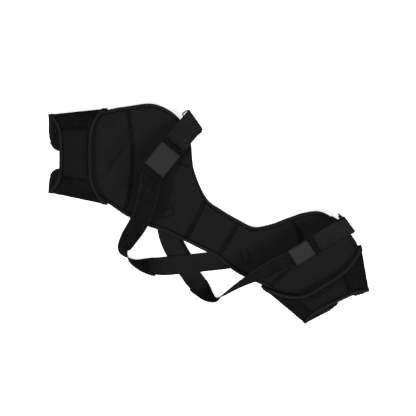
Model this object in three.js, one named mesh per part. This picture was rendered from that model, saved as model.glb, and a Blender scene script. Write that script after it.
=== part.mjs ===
// A double shoulder brace laid flat with its body side up, in millimetres, +Z up.
// The neoprene body runs from the left arm band to the right one. Two straps are sewn under its yoke,
// cross, turn on edge, and come up over the wings to a ring at each wing's rim.

import * as THREE from 'three';
import { mergeVertices } from 'three/addons/utils/BufferGeometryUtils.js';

// Layout of the brace as it lies
const SPAN = 692;
const DEPTH = 471;
const WING_RISE = 30;
const ARCH_HEIGHT = 40;
const BAND_HEIGHT = 22;
const BAND_FLARE = 4;

// Cloth
const NEOPRENE_WALL = 3;
const BAND_WALL = 2.5;
const ELASTIC_WALL = 1.6;
const LOOP_STRAP_WALL = 1.6;
const SHOULDER_STRAP_WALL = 1.6;
const PATCH_WALL = 1;
const TAB_WALL = 1.2;
const BINDING_WALL = 0.8;
const BINDING_WIDTH = 8;

// Straps and their hardware
const STRAP_WIDTH = 45;
const SHOULDER_STRAP_WIDTH = 50;
const PATCH_LENGTH = 60;
const END_STRIP = 18;
const STRAP_LAP = 13;
const SEWN_LAP = 12;
const RING_WIRE = 4;
const RING_DEPTH = 18;
const RING_PLAY = 2.5;
const TAB_WIDTH = 38;

// Arm bands, as shares of the band's own length and half width
const MOUTH_DIP = 0.2;
const WING_DIP = 0.26;
const FOLD_REACH = 15;
const LOBE_CORNER = 22;
const LOBE_GAP = 40;

// Clearance between neighbouring pieces
const CLEARANCE = 0.35;

const BINDING_BUILD = BINDING_WALL + CLEARANCE;
const BODY_LIFT = ELASTIC_WALL + CLEARANCE + BINDING_BUILD + NEOPRENE_WALL / 2;

// Sections across the body, from inside the left band to inside the right one.
// x columns are shares of SPAN, y columns of DEPTH, rises of WING_RISE above BODY_LIFT.
const BODY_SECTIONS = table(
  ['upperX', 'upperY', 'middleX', 'middleY', 'lowerX', 'lowerY', 'upperRise', 'middleRise', 'lowerRise'],
  [
    [-0.438, 0.409, -0.444, 0.272, -0.438, 0.135, 0.17, 0.15, 0.17],
    [-0.376, 0.434, -0.376, 0.262, -0.376, 0.099, 0.17, 0.15, 0.17],
    [-0.317, 0.461, -0.317, 0.262, -0.317, 0.075, 0.22, 0.13, 0.20],
    [-0.255, 0.491, -0.239, 0.240, -0.264, 0.002, 0.52, 0.03, 0.32],
    [-0.168, 0.500, -0.180, 0.217, -0.205, -0.043, 0.72, 0.02, 0.25],
    [-0.096, 0.440, -0.121, 0.171, -0.158, -0.068, 0.70, 0.02, 0.12],
    [-0.059, 0.336, -0.090, 0.116, -0.127, -0.084, 0.45, 0.00, 0.03],
    [-0.047, 0.203, -0.068, 0.048, -0.103, -0.103, 0.15, 0.00, 0.02],
    [-0.009, 0.075, -0.040, -0.025, -0.078, -0.119, 0.05, 0.00, 0.04],
    [0.040, 0.018, 0.006, -0.071, -0.028, -0.155, 0.03, 0.00, 0.08],
    [0.096, -0.030, 0.062, -0.112, 0.025, -0.196, 0.03, 0.00, 0.05],
    [0.140, -0.059, 0.112, -0.162, 0.084, -0.262, 0.08, 0.00, 0.02],
    [0.190, -0.048, 0.183, -0.171, 0.130, -0.298, 0.18, 0.00, 0.06],
    [0.249, -0.016, 0.283, -0.162, 0.194, -0.324, 0.42, 0.00, 0.20],
    [0.298, 0.007, 0.326, -0.189, 0.208, -0.356, 0.60, 0.03, 0.21],
    [0.351, 0.009, 0.351, -0.217, 0.230, -0.386, 0.68, 0.08, 0.18],
    [0.410, -0.048, 0.367, -0.253, 0.249, -0.411, 0.56, 0.12, 0.18],
    [0.458, -0.151, 0.370, -0.294, 0.264, -0.431, 0.36, 0.16, 0.18],
    [0.467, -0.262, 0.380, -0.345, 0.283, -0.450, 0.18, 0.16, 0.18],
  ],
);

// The body's panels, between the sections where their seams lie
const BODY_PANELS = table(
  ['name', 'from', 'to', 'steps'],
  [
    ['left_wing_panel', 0, 3, 9],
    ['left_shoulder_panel', 3, 8, 13],
    ['yoke_panel', 8, 10, 4],
    ['right_shoulder_panel', 10, 13, 8],
    ['right_wing_panel', 13, 18, 12],
  ],
);
const LAST_SECTION = BODY_SECTIONS.length - 1;

// Soft dents in the body: section and share across of the middle, their reaches, depth as a share of
// WING_RISE, and how far the dent leans along the body from its lower to its upper end
const BODY_DENTS = table(
  ['section', 'across', 'sectionReach', 'acrossReach', 'depth', 'lean'],
  [
    [2.55, 0.66, 0.22, 0.14, 0.10, 0.5],
    [2.85, 0.30, 0.26, 0.11, 0.10, 0.8],
    [2.95, 0.50, 0.18, 0.20, -0.08, 0.6],
  ],
);

// The arm bands' corners: lower fold from mouth to wing, then upper fold from mouth to wing
const BAND_CORNERS = table(
  ['side', 'lowerMouthX', 'lowerMouthY', 'lowerWingX', 'lowerWingY',
    'upperMouthX', 'upperMouthY', 'upperWingX', 'upperWingY', 'lowerJoint', 'upperJoint'],
  [
    ['left', -0.500, 0.107, -0.317, 0.052, -0.500, 0.450, -0.317, 0.477, -0.58, 0.62],
    ['right', 0.298, -0.500, 0.160, -0.330, 0.500, -0.349, 0.475, -0.139, -0.70, 0.50],
  ],
);

// The straps' centre lines. lift is the low edge's height as a share of ARCH_HEIGHT, layer counts
// straps beneath, and roll turns the strap about its own line, in degrees.
const TRACK_COLUMNS = ['x', 'y', 'lift', 'layer', 'roll'];
const SHOULDER_TRACKS = {
  left: table(TRACK_COLUMNS, [
    [-0.036, 0.440, 0.84, 0, 0],
    [-0.065, 0.388, 0.91, 0, 0],
    [-0.106, 0.316, 0.97, 0, 1],
    [-0.152, 0.233, 0.98, 0, 2],
    [-0.188, 0.169, 0.94, 0, 4],
  ]),
  right: table(TRACK_COLUMNS, [
    [0.432, -0.038, 0.64, 0, 38],
    [0.382, -0.082, 0.65, 0, 38],
    [0.339, -0.121, 0.62, 0, 41],
    [0.295, -0.160, 0.54, 0, 41],
    [0.252, -0.199, 0.48, 0, 40],
  ]),
};
const LOWER_TRACKS = {
  left: table(TRACK_COLUMNS, [
    [-0.172, 0.212, 0.96, 0, 3],
    [-0.180, 0.157, 0.90, 0, 6],
    [-0.188, 0.089, 0.79, 0, 14],
    [-0.199, 0.021, 0.67, 0, 22],
    [-0.216, -0.048, 0.54, 0, 28],
    [-0.239, -0.112, 0.33, 0, 42],
    [-0.253, -0.162, 0.10, 0, 66],
    [-0.244, -0.205, 0.02, 0, 88],
    [-0.217, -0.235, 0.02, 0, 112],
    [-0.177, -0.246, 0.02, 0.3, 148],
    [-0.134, -0.240, 0.02, 1, 170],
    [-0.084, -0.230, 0.01, 1.2, 178],
    [-0.034, -0.222, 0.00, 1.3, 180],
    [-0.003, -0.217, 0.00, 0.8, 180],
    [0.040, -0.210, 0.00, 0, 180],
    [0.118, -0.194, 0.00, 0, 180],
  ]),
  right: table(TRACK_COLUMNS, [
    [0.273, -0.178, 0.51, 0, 41],
    [0.249, -0.201, 0.48, 0, 40],
    [0.196, -0.240, 0.44, 0, 38],
    [0.152, -0.272, 0.36, 0, 50],
    [0.118, -0.299, 0.23, 0, 64],
    [0.078, -0.336, 0.08, 0, 77],
    [0.040, -0.372, 0.02, 0, 86],
    [0.019, -0.390, 0.01, 0, 92],
    [-0.005, -0.381, 0.01, 0, 108],
    [-0.026, -0.347, 0.01, 0, 142],
    [-0.043, -0.308, 0.00, 0, 170],
    [-0.057, -0.276, 0.00, 0, 180],
    [-0.084, -0.205, 0.00, 0, 180],
    [-0.107, -0.144, 0.00, 0, 180],
    [-0.120, -0.094, 0.00, 0, 180],
    [-0.134, 0.002, 0.00, 0, 180],
  ]),
};

// Per side: which way the strap turns, where the elastic meets the loop strap as a share of the lower
// track, the ring's tilt in degrees, and where its tab is sewn under the body
const STRAP_SIDES = table(
  ['side', 'hand', 'joint', 'ringTilt', 'tabSection', 'tabAcross'],
  [
    ['left', 1, 0.55, 40, 5.5, 0.70],
    ['right', -1, 0.57, 80, 15.85, 0.76],
  ],
);

const FINISHES = {
  neoprene: { color: 0x202122, roughness: 0.92 },
  loop: { color: 0x161617, roughness: 1 },
  elastic: { color: 0x232425, roughness: 0.85 },
  binding: { color: 0x2a2b2c, roughness: 0.8 },
  patch: { color: 0x38393b, roughness: 0.7 },
  ring: { color: 0x141414, roughness: 0.35 },
};

function table(columns, rows) {
  return rows.map((row) => Object.fromEntries(columns.map((column, index) => [column, row[index]])));
}

function smooth(value) {
  const t = THREE.MathUtils.clamp(value, 0, 1);
  return t * t * (3 - 2 * t);
}

// Catmull-Rom value of one column at a fractional row
function columnAt(rows, column, place) {
  const last = rows.length - 1;
  const index = THREE.MathUtils.clamp(Math.floor(place), 0, last - 1);
  const t = place - index;
  const value = (row) => rows[THREE.MathUtils.clamp(row, 0, last)][column];
  const [a, b, c, d] = [value(index - 1), value(index), value(index + 1), value(index + 2)];
  const slopeIn = (c - a) / 2;
  const slopeOut = (d - b) / 2;
  const cubic = 2 * b - 2 * c + slopeIn + slopeOut;
  const square = 3 * (c - b) - 2 * slopeIn - slopeOut;
  return b + t * (slopeIn + t * (square + t * cubic));
}

// Closed body with a piece's name and finish, from a geometry with shared corners
function piece(name, geometry, finish) {
  const bare = geometry.clone();
  bare.deleteAttribute('normal');
  bare.deleteAttribute('uv');
  const solid = mergeVertices(bare, 1e-4);
  if (signedVolume(solid) < 0) {
    const order = solid.index.array;
    for (let corner = 0; corner < order.length; corner += 3) {
      [order[corner + 1], order[corner + 2]] = [order[corner + 2], order[corner + 1]];
    }
  }
  solid.computeVertexNormals();
  const mesh = new THREE.Mesh(solid, new THREE.MeshStandardMaterial({ ...FINISHES[finish], metalness: 0 }));
  mesh.name = name;
  return mesh;
}

function signedVolume(geometry) {
  const order = geometry.index.array;
  const corner = (index) => new THREE.Vector3().fromBufferAttribute(geometry.attributes.position, index);
  let volume = 0;
  for (let face = 0; face < order.length; face += 3) {
    volume += corner(order[face]).dot(corner(order[face + 1]).cross(corner(order[face + 2])));
  }
  return volume / 6;
}

// A cloth sheet of stepsAlong by stepsAcross cells laid on a surface. place(i, j) gives the middle of
// the cloth and the way it faces. Both faces are split along the same diagonals.
function sheet(name, stepsAlong, stepsAcross, wall, finish, place) {
  const row = stepsAcross + 1;
  const layer = row * (stepsAlong + 1);
  const points = new Float32Array(layer * 6);
  for (let along = 0; along <= stepsAlong; along += 1) {
    for (let across = 0; across <= stepsAcross; across += 1) {
      const { middle, normal } = place(along, across);
      const corner = along * row + across;
      middle.clone().addScaledVector(normal, wall / 2).toArray(points, corner * 3);
      middle.clone().addScaledVector(normal, -wall / 2).toArray(points, (corner + layer) * 3);
    }
  }
  const faces = [];
  const quad = (a, b, c, d) => faces.push(a, b, c, a, c, d);
  for (let along = 0; along < stepsAlong; along += 1) {
    for (let across = 0; across < stepsAcross; across += 1) {
      const corner = along * row + across;
      quad(corner, corner + row, corner + row + 1, corner + 1);
      const under = corner + layer;
      faces.push(under, under + row + 1, under + row, under, under + 1, under + row + 1);
    }
    const first = along * row;
    const last = first + stepsAcross;
    quad(first, first + layer, first + row + layer, first + row);
    quad(last, last + row, last + row + layer, last + layer);
  }
  const end = stepsAlong * row;
  for (let across = 0; across < stepsAcross; across += 1) {
    quad(across, across + 1, across + 1 + layer, across + layer);
    quad(end + across, end + across + layer, end + across + 1 + layer, end + across + 1);
  }
  const geometry = new THREE.BufferGeometry();
  geometry.setAttribute('position', new THREE.BufferAttribute(points, 3));
  geometry.setIndex(faces);
  return piece(name, geometry, finish);
}

// A folded tape over a cloth edge, swept along it. surface(step, reach, height) gives the point that
// lies reach inside the edge and height off the cloth's middle.
function edgeTape(name, steps, clothWall, surface) {
  const inner = clothWall / 2 + CLEARANCE;
  const outer = inner + BINDING_WALL;
  const section = [
    [BINDING_WIDTH, outer],
    [-CLEARANCE, outer],
    [-BINDING_BUILD, inner * 0.6],
    [-BINDING_BUILD, -inner * 0.6],
    [-CLEARANCE, -outer],
    [BINDING_WIDTH, -outer],
    [BINDING_WIDTH, -inner],
    [-CLEARANCE, -inner],
    [-CLEARANCE, inner],
    [BINDING_WIDTH, inner],
  ];
  return piece(name, sweep(steps, section.length, (step, corner) => surface(step, ...section[corner])), 'binding');
}

// A closed ring of corners carried along steps, with both ends capped, or joined to itself when looped
function sweep(steps, corners, pointAt, looped = false) {
  const points = [];
  const faces = [];
  const rows = looped ? steps : steps + 1;
  for (let step = 0; step < rows; step += 1) {
    for (let corner = 0; corner < corners; corner += 1) {
      points.push(...pointAt(step, corner).toArray());
    }
  }
  for (let step = 0; step < steps; step += 1) {
    for (let corner = 0; corner < corners; corner += 1) {
      const next = (corner + 1) % corners;
      const here = step * corners;
      const there = ((step + 1) % rows) * corners;
      faces.push(here + corner, there + corner, there + next);
      faces.push(here + corner, there + next, here + next);
    }
  }
  if (!looped) {
    const end = steps * corners;
    for (const [first, second, third] of capFaces(corners)) {
      faces.push(first, second, third);
      faces.push(end + first, end + third, end + second);
    }
  }
  const geometry = new THREE.BufferGeometry();
  geometry.setAttribute('position', new THREE.Float32BufferAttribute(points, 3));
  geometry.setIndex(faces);
  return geometry;
}

// The tape's section is a strip folded in two, so its cap is a row of cells between its two faces
function capFaces(corners) {
  if (corners !== 10) {
    return Array.from({ length: corners - 2 }, (_, index) => [0, index + 1, index + 2]);
  }
  return [
    [0, 1, 8], [0, 8, 9], [1, 2, 8], [2, 3, 8], [3, 7, 8], [3, 4, 7], [4, 5, 6], [4, 6, 7],
  ];
}

function surfaceNormal(surface, along, across, step) {
  const alongWay = surface(along + step, across).sub(surface(along - step, across));
  const acrossWay = surface(along, across + step).sub(surface(along, across - step));
  return alongWay.cross(acrossWay).normalize();
}

// Middle surface of the body: section counts along it, across runs from lower edge 0 to upper edge 1
function bodySurface(section, across) {
  const at = (column) => columnAt(BODY_SECTIONS, column, section);
  const lowerShare = (1 - across) * (1 - 2 * across);
  const middleShare = 4 * across * (1 - across);
  const upperShare = across * (2 * across - 1);
  const blend = (name) => lowerShare * at(`lower${name}`) + middleShare * at(`middle${name}`)
    + upperShare * at(`upper${name}`);
  let rise = blend('Rise');
  for (const dent of BODY_DENTS) {
    const alongBody = section - dent.section - dent.lean * (across - dent.across);
    const reach = (alongBody / dent.sectionReach) ** 2 + ((across - dent.across) / dent.acrossReach) ** 2;
    rise -= dent.depth * Math.exp(-reach);
  }
  return new THREE.Vector3(blend('X') * SPAN, blend('Y') * DEPTH, BODY_LIFT + rise * WING_RISE);
}

function bodyNormal(section, across) {
  return surfaceNormal(bodySurface, section, across, 0.002);
}

// Share across the body that lies reach millimetres inside an edge
function acrossFromEdge(section, reach, upper) {
  const edge = upper ? 1 : 0;
  const inward = upper ? -0.01 : 0.01;
  const speed = bodySurface(section, edge + inward).distanceTo(bodySurface(section, edge)) / 0.01;
  return edge + Math.sign(inward) * (reach / speed);
}

const ACROSS_STEPS = 9;

function acrossStation(section, station) {
  if (station === 0) {
    return 0;
  }
  if (station === ACROSS_STEPS) {
    return 1;
  }
  const lower = acrossFromEdge(section, BINDING_WIDTH, false);
  const upper = acrossFromEdge(section, BINDING_WIDTH, true);
  return THREE.MathUtils.lerp(lower, upper, (station - 1) / (ACROSS_STEPS - 2));
}

// Stations along a panel, pulled in by half the seam's gap where it meets its neighbour
function panelStation(panel, step) {
  const section = THREE.MathUtils.lerp(panel.from, panel.to, step / panel.steps);
  const sign = step === 0 ? 1 : -1;
  const meets = (step === 0 && panel.from > 0) || (step === panel.steps && panel.to < LAST_SECTION);
  return { section, pull: meets ? (sign * CLEARANCE) / 2 : 0 };
}

function bodyPanel(panel) {
  return sheet(panel.name, panel.steps, ACROSS_STEPS, NEOPRENE_WALL, 'neoprene', (step, station) => {
    const { section, pull } = panelStation(panel, step);
    const across = acrossStation(section, station);
    const middle = bodySurface(section, across);
    const along = bodySurface(section + 0.01, across).sub(bodySurface(section - 0.01, across)).normalize();
    return { middle: middle.addScaledVector(along, pull), normal: bodyNormal(section, across) };
  });
}

const BODY_STATIONS = BODY_PANELS.flatMap((panel) => Array.from(
  { length: panel.steps },
  (_, step) => THREE.MathUtils.lerp(panel.from, panel.to, step / panel.steps),
)).concat(LAST_SECTION);

function bodyBinding(name, upper) {
  return edgeTape(name, BODY_STATIONS.length - 1, NEOPRENE_WALL, (step, reach, height) => {
    const section = BODY_STATIONS[step];
    const edge = upper ? 1 : 0;
    const inside = acrossFromEdge(section, BINDING_WIDTH, upper);
    const edgePoint = bodySurface(section, edge);
    const insidePoint = bodySurface(section, inside);
    const share = reach / BINDING_WIDTH;
    const base = edgePoint.clone().lerp(insidePoint, share);
    const normal = bodyNormal(section, edge).lerp(bodyNormal(section, inside), Math.max(share, 0)).normalize();
    return base.addScaledVector(normal, height);
  });
}

// An arm band: cloth folded flat round the wing's end. Its section is a loop with half-ellipse folds
// and a gap between its two ends behind. turn runs along the loop, from the upper back end -1 over
// the front 0 to the lower back end 1.
class ArmBand {
  constructor(corners) {
    Object.assign(this, corners);
    const point = (name) => new THREE.Vector3(this[`${name}X`] * SPAN, this[`${name}Y`] * DEPTH, 0);
    this.lowerMouth = point('lowerMouth');
    this.lowerWing = point('lowerWing');
    this.upperMouth = point('upperMouth');
    this.upperWing = point('upperWing');
    this.length = this.upperMouth.clone().lerp(this.lowerMouth, 0.5)
      .distanceTo(this.upperWing.clone().lerp(this.lowerWing, 0.5));
  }

  // Length of the back, the fold and half the front in millimetres, at a share from mouth to wing
  measures(share) {
    const lower = this.lowerMouth.clone().lerp(this.lowerWing, share);
    const upper = this.upperMouth.clone().lerp(this.upperWing, share);
    const half = upper.distanceTo(lower) / 2 - BAND_WALL / 2 - BINDING_BUILD;
    const height = BAND_HEIGHT + BAND_FLARE * share - BAND_WALL - 2 * BINDING_BUILD;
    return {
      half,
      height,
      centre: upper.clone().lerp(lower, 0.5),
      side: upper.clone().sub(lower).normalize(),
      floor: BAND_WALL / 2 + BINDING_BUILD,
    };
  }

  // Middle surface. loop: 0 to 1 is the front from its middle to the upper fold, 1 to 2 the fold,
  // 2 and on the back towards the middle; negative values go the other way round.
  surface(loop, share) {
    const { half, height, centre, side, floor } = this.measures(share);
    const way = Math.sign(loop) || 1;
    const amount = Math.abs(loop);
    const flat = half - FOLD_REACH;
    let across;
    let up;
    if (amount <= 1) {
      across = amount * flat;
      up = height;
    } else if (amount <= 2) {
      const angle = (amount - 1) * Math.PI;
      across = flat + FOLD_REACH * Math.sin(angle);
      up = (height * (1 + Math.cos(angle))) / 2;
    } else {
      across = flat - (amount - 2) * flat;
      up = 0;
    }
    return centre.clone().addScaledVector(side, way * across).setZ(floor + up);
  }

  // Share from mouth to wing of the cloth's two edges. The front's edges dip in its middle.
  edgeShares(loop) {
    const amount = Math.min(Math.abs(loop), 1);
    const dip = Math.abs(loop) > 2 ? 1 - smooth(3 - Math.abs(loop)) : 1 - amount ** 4;
    return { mouth: MOUTH_DIP * dip, wing: 1 - WING_DIP * dip };
  }

  // Where the back's end lies, as a loop value, rounded at its corners
  backEnd(share, mouth, wing) {
    const { half } = this.measures(share);
    const flat = half - FOLD_REACH;
    const toCorner = Math.min(share - mouth, wing - share) * this.length;
    const into = THREE.MathUtils.clamp(1 - toCorner / LOBE_CORNER, 0, 1);
    const rounding = LOBE_CORNER * (1 - Math.sqrt(1 - into * into));
    return 3 - (LOBE_GAP / 2 + rounding) / flat;
  }

  joint(name) {
    const { half } = this.measures(0.5);
    return (this[name] * half) / (half - FOLD_REACH);
  }

  // The cloth's point and facing at a place round the loop and a share of its width
  place(loop, widthShare, gap = 0) {
    const { mouth, wing } = this.edgeShares(loop);
    const share = THREE.MathUtils.lerp(mouth, wing, widthShare);
    const surface = (first, second) => this.surface(first, second);
    const middle = this.surface(loop, share);
    const around = this.surface(loop + 0.01, share).sub(this.surface(loop - 0.01, share)).normalize();
    middle.addScaledVector(around, gap);
    const normal = surfaceNormal(surface, loop, share, 0.002);
    return { middle, normal };
  }
}

const BAND_WIDTH_STEPS = 4;
const FRONT_STEPS = 6;
const SIDE_LOOPS = [0, 0.5, 1, 1.17, 1.33, 1.5, 1.67, 1.83, 2];
const BACK_STEPS = 3;

// Share of the band's width at a station: the bindings' inner edges are stations of their own
function widthStation(band, station) {
  const border = BINDING_WIDTH / (band.length * (1 - MOUTH_DIP - WING_DIP));
  return [0, border, 0.5, 1 - border, 1][station];
}

// Loop values of a side panel's stations, from the joint round the fold to the back's end
function sidePanelLoops(band, upper) {
  const joint = Math.abs(band.joint(upper ? 'upperJoint' : 'lowerJoint'));
  return SIDE_LOOPS.map((value) => (value < 1 ? THREE.MathUtils.lerp(joint, 1, value) : value));
}

// Point and facing of a side panel at its own step and width station
function sidePlace(band, upper, step, station) {
  const way = upper ? 1 : -1;
  const loops = sidePanelLoops(band, upper);
  const widthShare = widthStation(band, station);
  let loop = loops[step];
  if (step >= loops.length) {
    const { mouth, wing } = band.edgeShares(2.9);
    const share = THREE.MathUtils.lerp(mouth, wing, widthShare);
    const end = band.backEnd(share, mouth, wing);
    loop = THREE.MathUtils.lerp(2, end, (step - loops.length + 1) / BACK_STEPS);
  }
  return band.place(way * loop, widthShare, step === 0 ? (way * CLEARANCE) / 2 : 0);
}

function sidePanel(band, upper) {
  const name = `${band.side}_${upper ? 'upper' : 'lower'}_loop_panel`;
  const steps = SIDE_LOOPS.length - 1 + BACK_STEPS;
  return sheet(name, steps, BAND_WIDTH_STEPS, BAND_WALL, 'loop', (step, station) => (
    sidePlace(band, upper, step, station)));
}

function middlePanel(band) {
  return sheet(`${band.side}_arm_band`, FRONT_STEPS, BAND_WIDTH_STEPS, BAND_WALL, 'neoprene', (step, station) => {
    const loop = THREE.MathUtils.lerp(band.joint('lowerJoint'), band.joint('upperJoint'), step / FRONT_STEPS);
    const gap = step === 0 ? CLEARANCE / 2 : (step === FRONT_STEPS ? -CLEARANCE / 2 : 0);
    return band.place(loop, widthStation(band, station), gap);
  });
}

// Tape over one long edge of a band, from the lower back end over the front to the upper one
function bandBinding(band, mouthSide) {
  const sideSteps = SIDE_LOOPS.length + BACK_STEPS - 2;
  const lower = Array.from({ length: sideSteps + 1 }, (_, index) => (station) => (
    sidePlace(band, false, sideSteps - index, station)));
  const front = Array.from({ length: FRONT_STEPS - 1 }, (_, index) => (station) => {
    const share = (index + 1) / FRONT_STEPS;
    const loop = THREE.MathUtils.lerp(band.joint('lowerJoint'), band.joint('upperJoint'), share);
    return band.place(loop, widthStation(band, station));
  });
  const upper = Array.from({ length: sideSteps + 1 }, (_, index) => (station) => (
    sidePlace(band, true, index, station)));
  const places = [...lower, ...front, ...upper];
  const [edge, inner] = mouthSide ? [0, 1] : [BAND_WIDTH_STEPS, BAND_WIDTH_STEPS - 1];
  const name = `${band.side}_${mouthSide ? 'mouth' : 'inner'}_binding`;
  return edgeTape(name, places.length - 1, BAND_WALL, (step, reach, height) => {
    const atEdge = places[step](edge);
    const inside = places[step](inner);
    const share = reach / BINDING_WIDTH;
    const way = inside.middle.clone().sub(atEdge.middle);
    const scale = share < 0 ? BINDING_WIDTH / way.length() : 1;
    const base = atEdge.middle.clone().addScaledVector(way, share * scale);
    return base.addScaledVector(atEdge.normal.clone().lerp(inside.normal, Math.max(share, 0)).normalize(), height);
  });
}

// A strap's centre line with its roll. across points to the edge that is inside the strap's turn at
// first, and face is the loop side's way.
class Track {
  constructor(rows, hand, width, wall) {
    Object.assign(this, { rows, hand, width, wall });
    const points = rows.map((row) => new THREE.Vector3(row.x * SPAN, row.y * DEPTH, 0));
    this.curve = new THREE.CatmullRomCurve3(points, false, 'centripetal');
    this.length = this.curve.getLength();
  }

  // The centre line's point and roll, going on straight past either end
  centreAt(distance) {
    const share = THREE.MathUtils.clamp(distance / this.length, 0, 1);
    const place = this.curve.getUtoTmapping(share);
    const row = place * (this.rows.length - 1);
    const roll = THREE.MathUtils.degToRad(columnAt(this.rows, 'roll', row));
    const lift = Math.max(0, columnAt(this.rows, 'lift', row)) * ARCH_HEIGHT;
    const layers = Math.max(0, columnAt(this.rows, 'layer', row)) * (ELASTIC_WALL + CLEARANCE);
    const stand = (Math.abs(Math.sin(roll)) * this.width) / 2;
    const beyond = this.curve.getTangent(place).multiplyScalar(distance - share * this.length);
    const point = this.curve.getPoint(place).add(beyond).setZ(this.wall / 2 + lift + layers + stand);
    return { point, roll };
  }

  frame(distance) {
    const { point: centre, roll } = this.centreAt(distance);
    const along = this.centreAt(distance + 1).point.sub(this.centreAt(distance - 1).point).normalize();
    const level = new THREE.Vector3(-along.y, along.x, 0).normalize().multiplyScalar(this.hand);
    const across = level.multiplyScalar(Math.cos(roll)).add(new THREE.Vector3(0, 0, Math.sin(roll)));
    across.addScaledVector(along, -across.dot(along)).normalize();
    const face = along.clone().cross(across).multiplyScalar(this.hand);
    return { centre, along, across, face };
  }

  // Point of a strap laid on the track: side is the way across, rise the height off the centre line
  point(distance, side, rise) {
    const { centre, across, face } = this.frame(distance);
    return centre.addScaledVector(across, side).addScaledVector(face, rise);
  }
}

// A strap over a profile of [distance, rise] pairs in a track's own plane
function strap(name, track, profile, width, wall, finish, stepsAcross = 1, startShift = null) {
  return sheet(name, profile.length - 1, stepsAcross, wall, finish, (step, station) => {
    const side = (station / stepsAcross - 0.5) * width;
    const before = profile[Math.max(step - 1, 0)];
    const after = profile[Math.min(step + 1, profile.length - 1)];
    const slope = new THREE.Vector2(after[0] - before[0], after[1] - before[1]).normalize();
    const shift = startShift ? startShift(side) * Math.max(0, 1 - step / 3) : 0;
    const distance = profile[step][0] + shift;
    const { along, face } = track.frame(distance);
    const middle = track.point(distance, side, profile[step][1]);
    const normal = face.clone().multiplyScalar(slope.x).addScaledVector(along, -slope.y);
    return { middle, normal };
  });
}

function straight(from, to, steps, riseFrom, riseTo = riseFrom) {
  return Array.from({ length: steps + 1 }, (_, step) => {
    const share = step / steps;
    return [THREE.MathUtils.lerp(from, to, share), THREE.MathUtils.lerp(riseFrom, riseTo, smooth(share))];
  });
}

function halfTurn(distance, rise, radius, steps) {
  return Array.from({ length: steps - 1 }, (_, index) => {
    const angle = ((index + 1) / steps) * Math.PI;
    return [distance - radius * Math.sin(angle), rise - radius * Math.cos(angle)];
  });
}

// One side's strap, from the sewn end behind the yoke to the ring and back down to the hook end
function strapSide({ side, hand, joint, ringTilt, tabSection, tabAcross }) {
  const shoulder = new Track(SHOULDER_TRACKS[side], hand, SHOULDER_STRAP_WIDTH, SHOULDER_STRAP_WALL);
  const lower = new Track(LOWER_TRACKS[side], hand, STRAP_WIDTH, ELASTIC_WALL);
  const barRadius = RING_WIRE / 2 + 2 * CLEARANCE + SHOULDER_STRAP_WALL / 2;
  const barPlace = barRadius + SHOULDER_STRAP_WALL / 2;
  const layerRise = SHOULDER_STRAP_WALL + CLEARANCE;
  const end = shoulder.length;

  const folded = [
    ...straight(end - STRAP_LAP, barPlace + 2 * RING_WIRE, 7, 0),
    [barPlace, 0],
    ...halfTurn(barPlace, barRadius, barRadius, 8),
    ...straight(barPlace, barPlace + 8 * RING_WIRE, 4, 2 * barRadius, layerRise),
    ...straight(end - PATCH_LENGTH - END_STRIP, end - END_STRIP, 4, layerRise),
    [end, layerRise],
  ];
  const shoulderStrap = strap(
    `${side}_shoulder_strap`, shoulder, folded, SHOULDER_STRAP_WIDTH, SHOULDER_STRAP_WALL, 'elastic', 2,
  );

  const patchRise = layerRise + SHOULDER_STRAP_WALL / 2 + CLEARANCE + PATCH_WALL / 2;
  const patchProfile = straight(end - END_STRIP - PATCH_LENGTH, end - END_STRIP, 4, patchRise);
  const patch = strap(`${side}_grip_patch`, shoulder, patchProfile, SHOULDER_STRAP_WIDTH, PATCH_WALL, 'patch', 2);

  // The loop strap's end is cut along the end of the shoulder strap's lower layer
  const seam = shoulder.frame(end - STRAP_LAP);
  const cut = (distance, across) => lower.point(distance, across, 0).sub(seam.centre).dot(seam.along)
    - 2 * CLEARANCE;
  const startShift = (across) => {
    let distance = 0;
    for (let round = 0; round < 4; round += 1) {
      const slope = (cut(distance + 0.5, across) - cut(distance - 0.5, across)) || 1;
      distance -= cut(distance, across) / slope;
    }
    return distance;
  };
  const jointPlace = lower.length * joint;
  const loopProfile = [...straight(0, jointPlace - SEWN_LAP / 2, 20, 0), ...straight(jointPlace, jointPlace + SEWN_LAP, 2, 0)];
  const loopStrap = strap(
    `${side}_loop_strap`, lower, loopProfile, STRAP_WIDTH, LOOP_STRAP_WALL, 'loop', 2, startShift,
  );

  const sewnRise = -(ELASTIC_WALL + LOOP_STRAP_WALL) / 2 - CLEARANCE;
  const elasticProfile = [
    ...straight(jointPlace, jointPlace + SEWN_LAP, 2, sewnRise),
    ...straight(jointPlace + 1.25 * SEWN_LAP, jointPlace + 2.5 * SEWN_LAP, 3, sewnRise, 0),
    ...straight(jointPlace + 3.5 * SEWN_LAP, lower.length, 14, 0),
  ];
  const elastic = strap(`${side}_elastic_strap`, lower, elasticProfile, STRAP_WIDTH, ELASTIC_WALL, 'elastic', 2);

  // The ring's far bar lies in the shoulder strap's fold, its near bar in the tab's
  const bar = shoulder.frame(barPlace);
  const farBar = bar.centre.clone().addScaledVector(bar.face, barRadius);
  const tilt = THREE.MathUtils.degToRad(ringTilt);
  const fall = bar.along.clone().multiplyScalar(Math.cos(tilt)).addScaledVector(bar.face, -Math.sin(tilt));
  const nearBar = farBar.clone().addScaledVector(fall, RING_DEPTH);
  const ringHalf = SHOULDER_STRAP_WIDTH / 2 + RING_PLAY + RING_WIRE / 2;
  const ring = ringPiece(`${side}_ring`, farBar, nearBar, bar.across, ringHalf);
  const tab = tabPiece(`${side}_ring_tab`, nearBar, fall, bar.across, tabSection, tabAcross, hand);
  return [elastic, loopStrap, shoulderStrap, patch, ring, tab];
}

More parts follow.
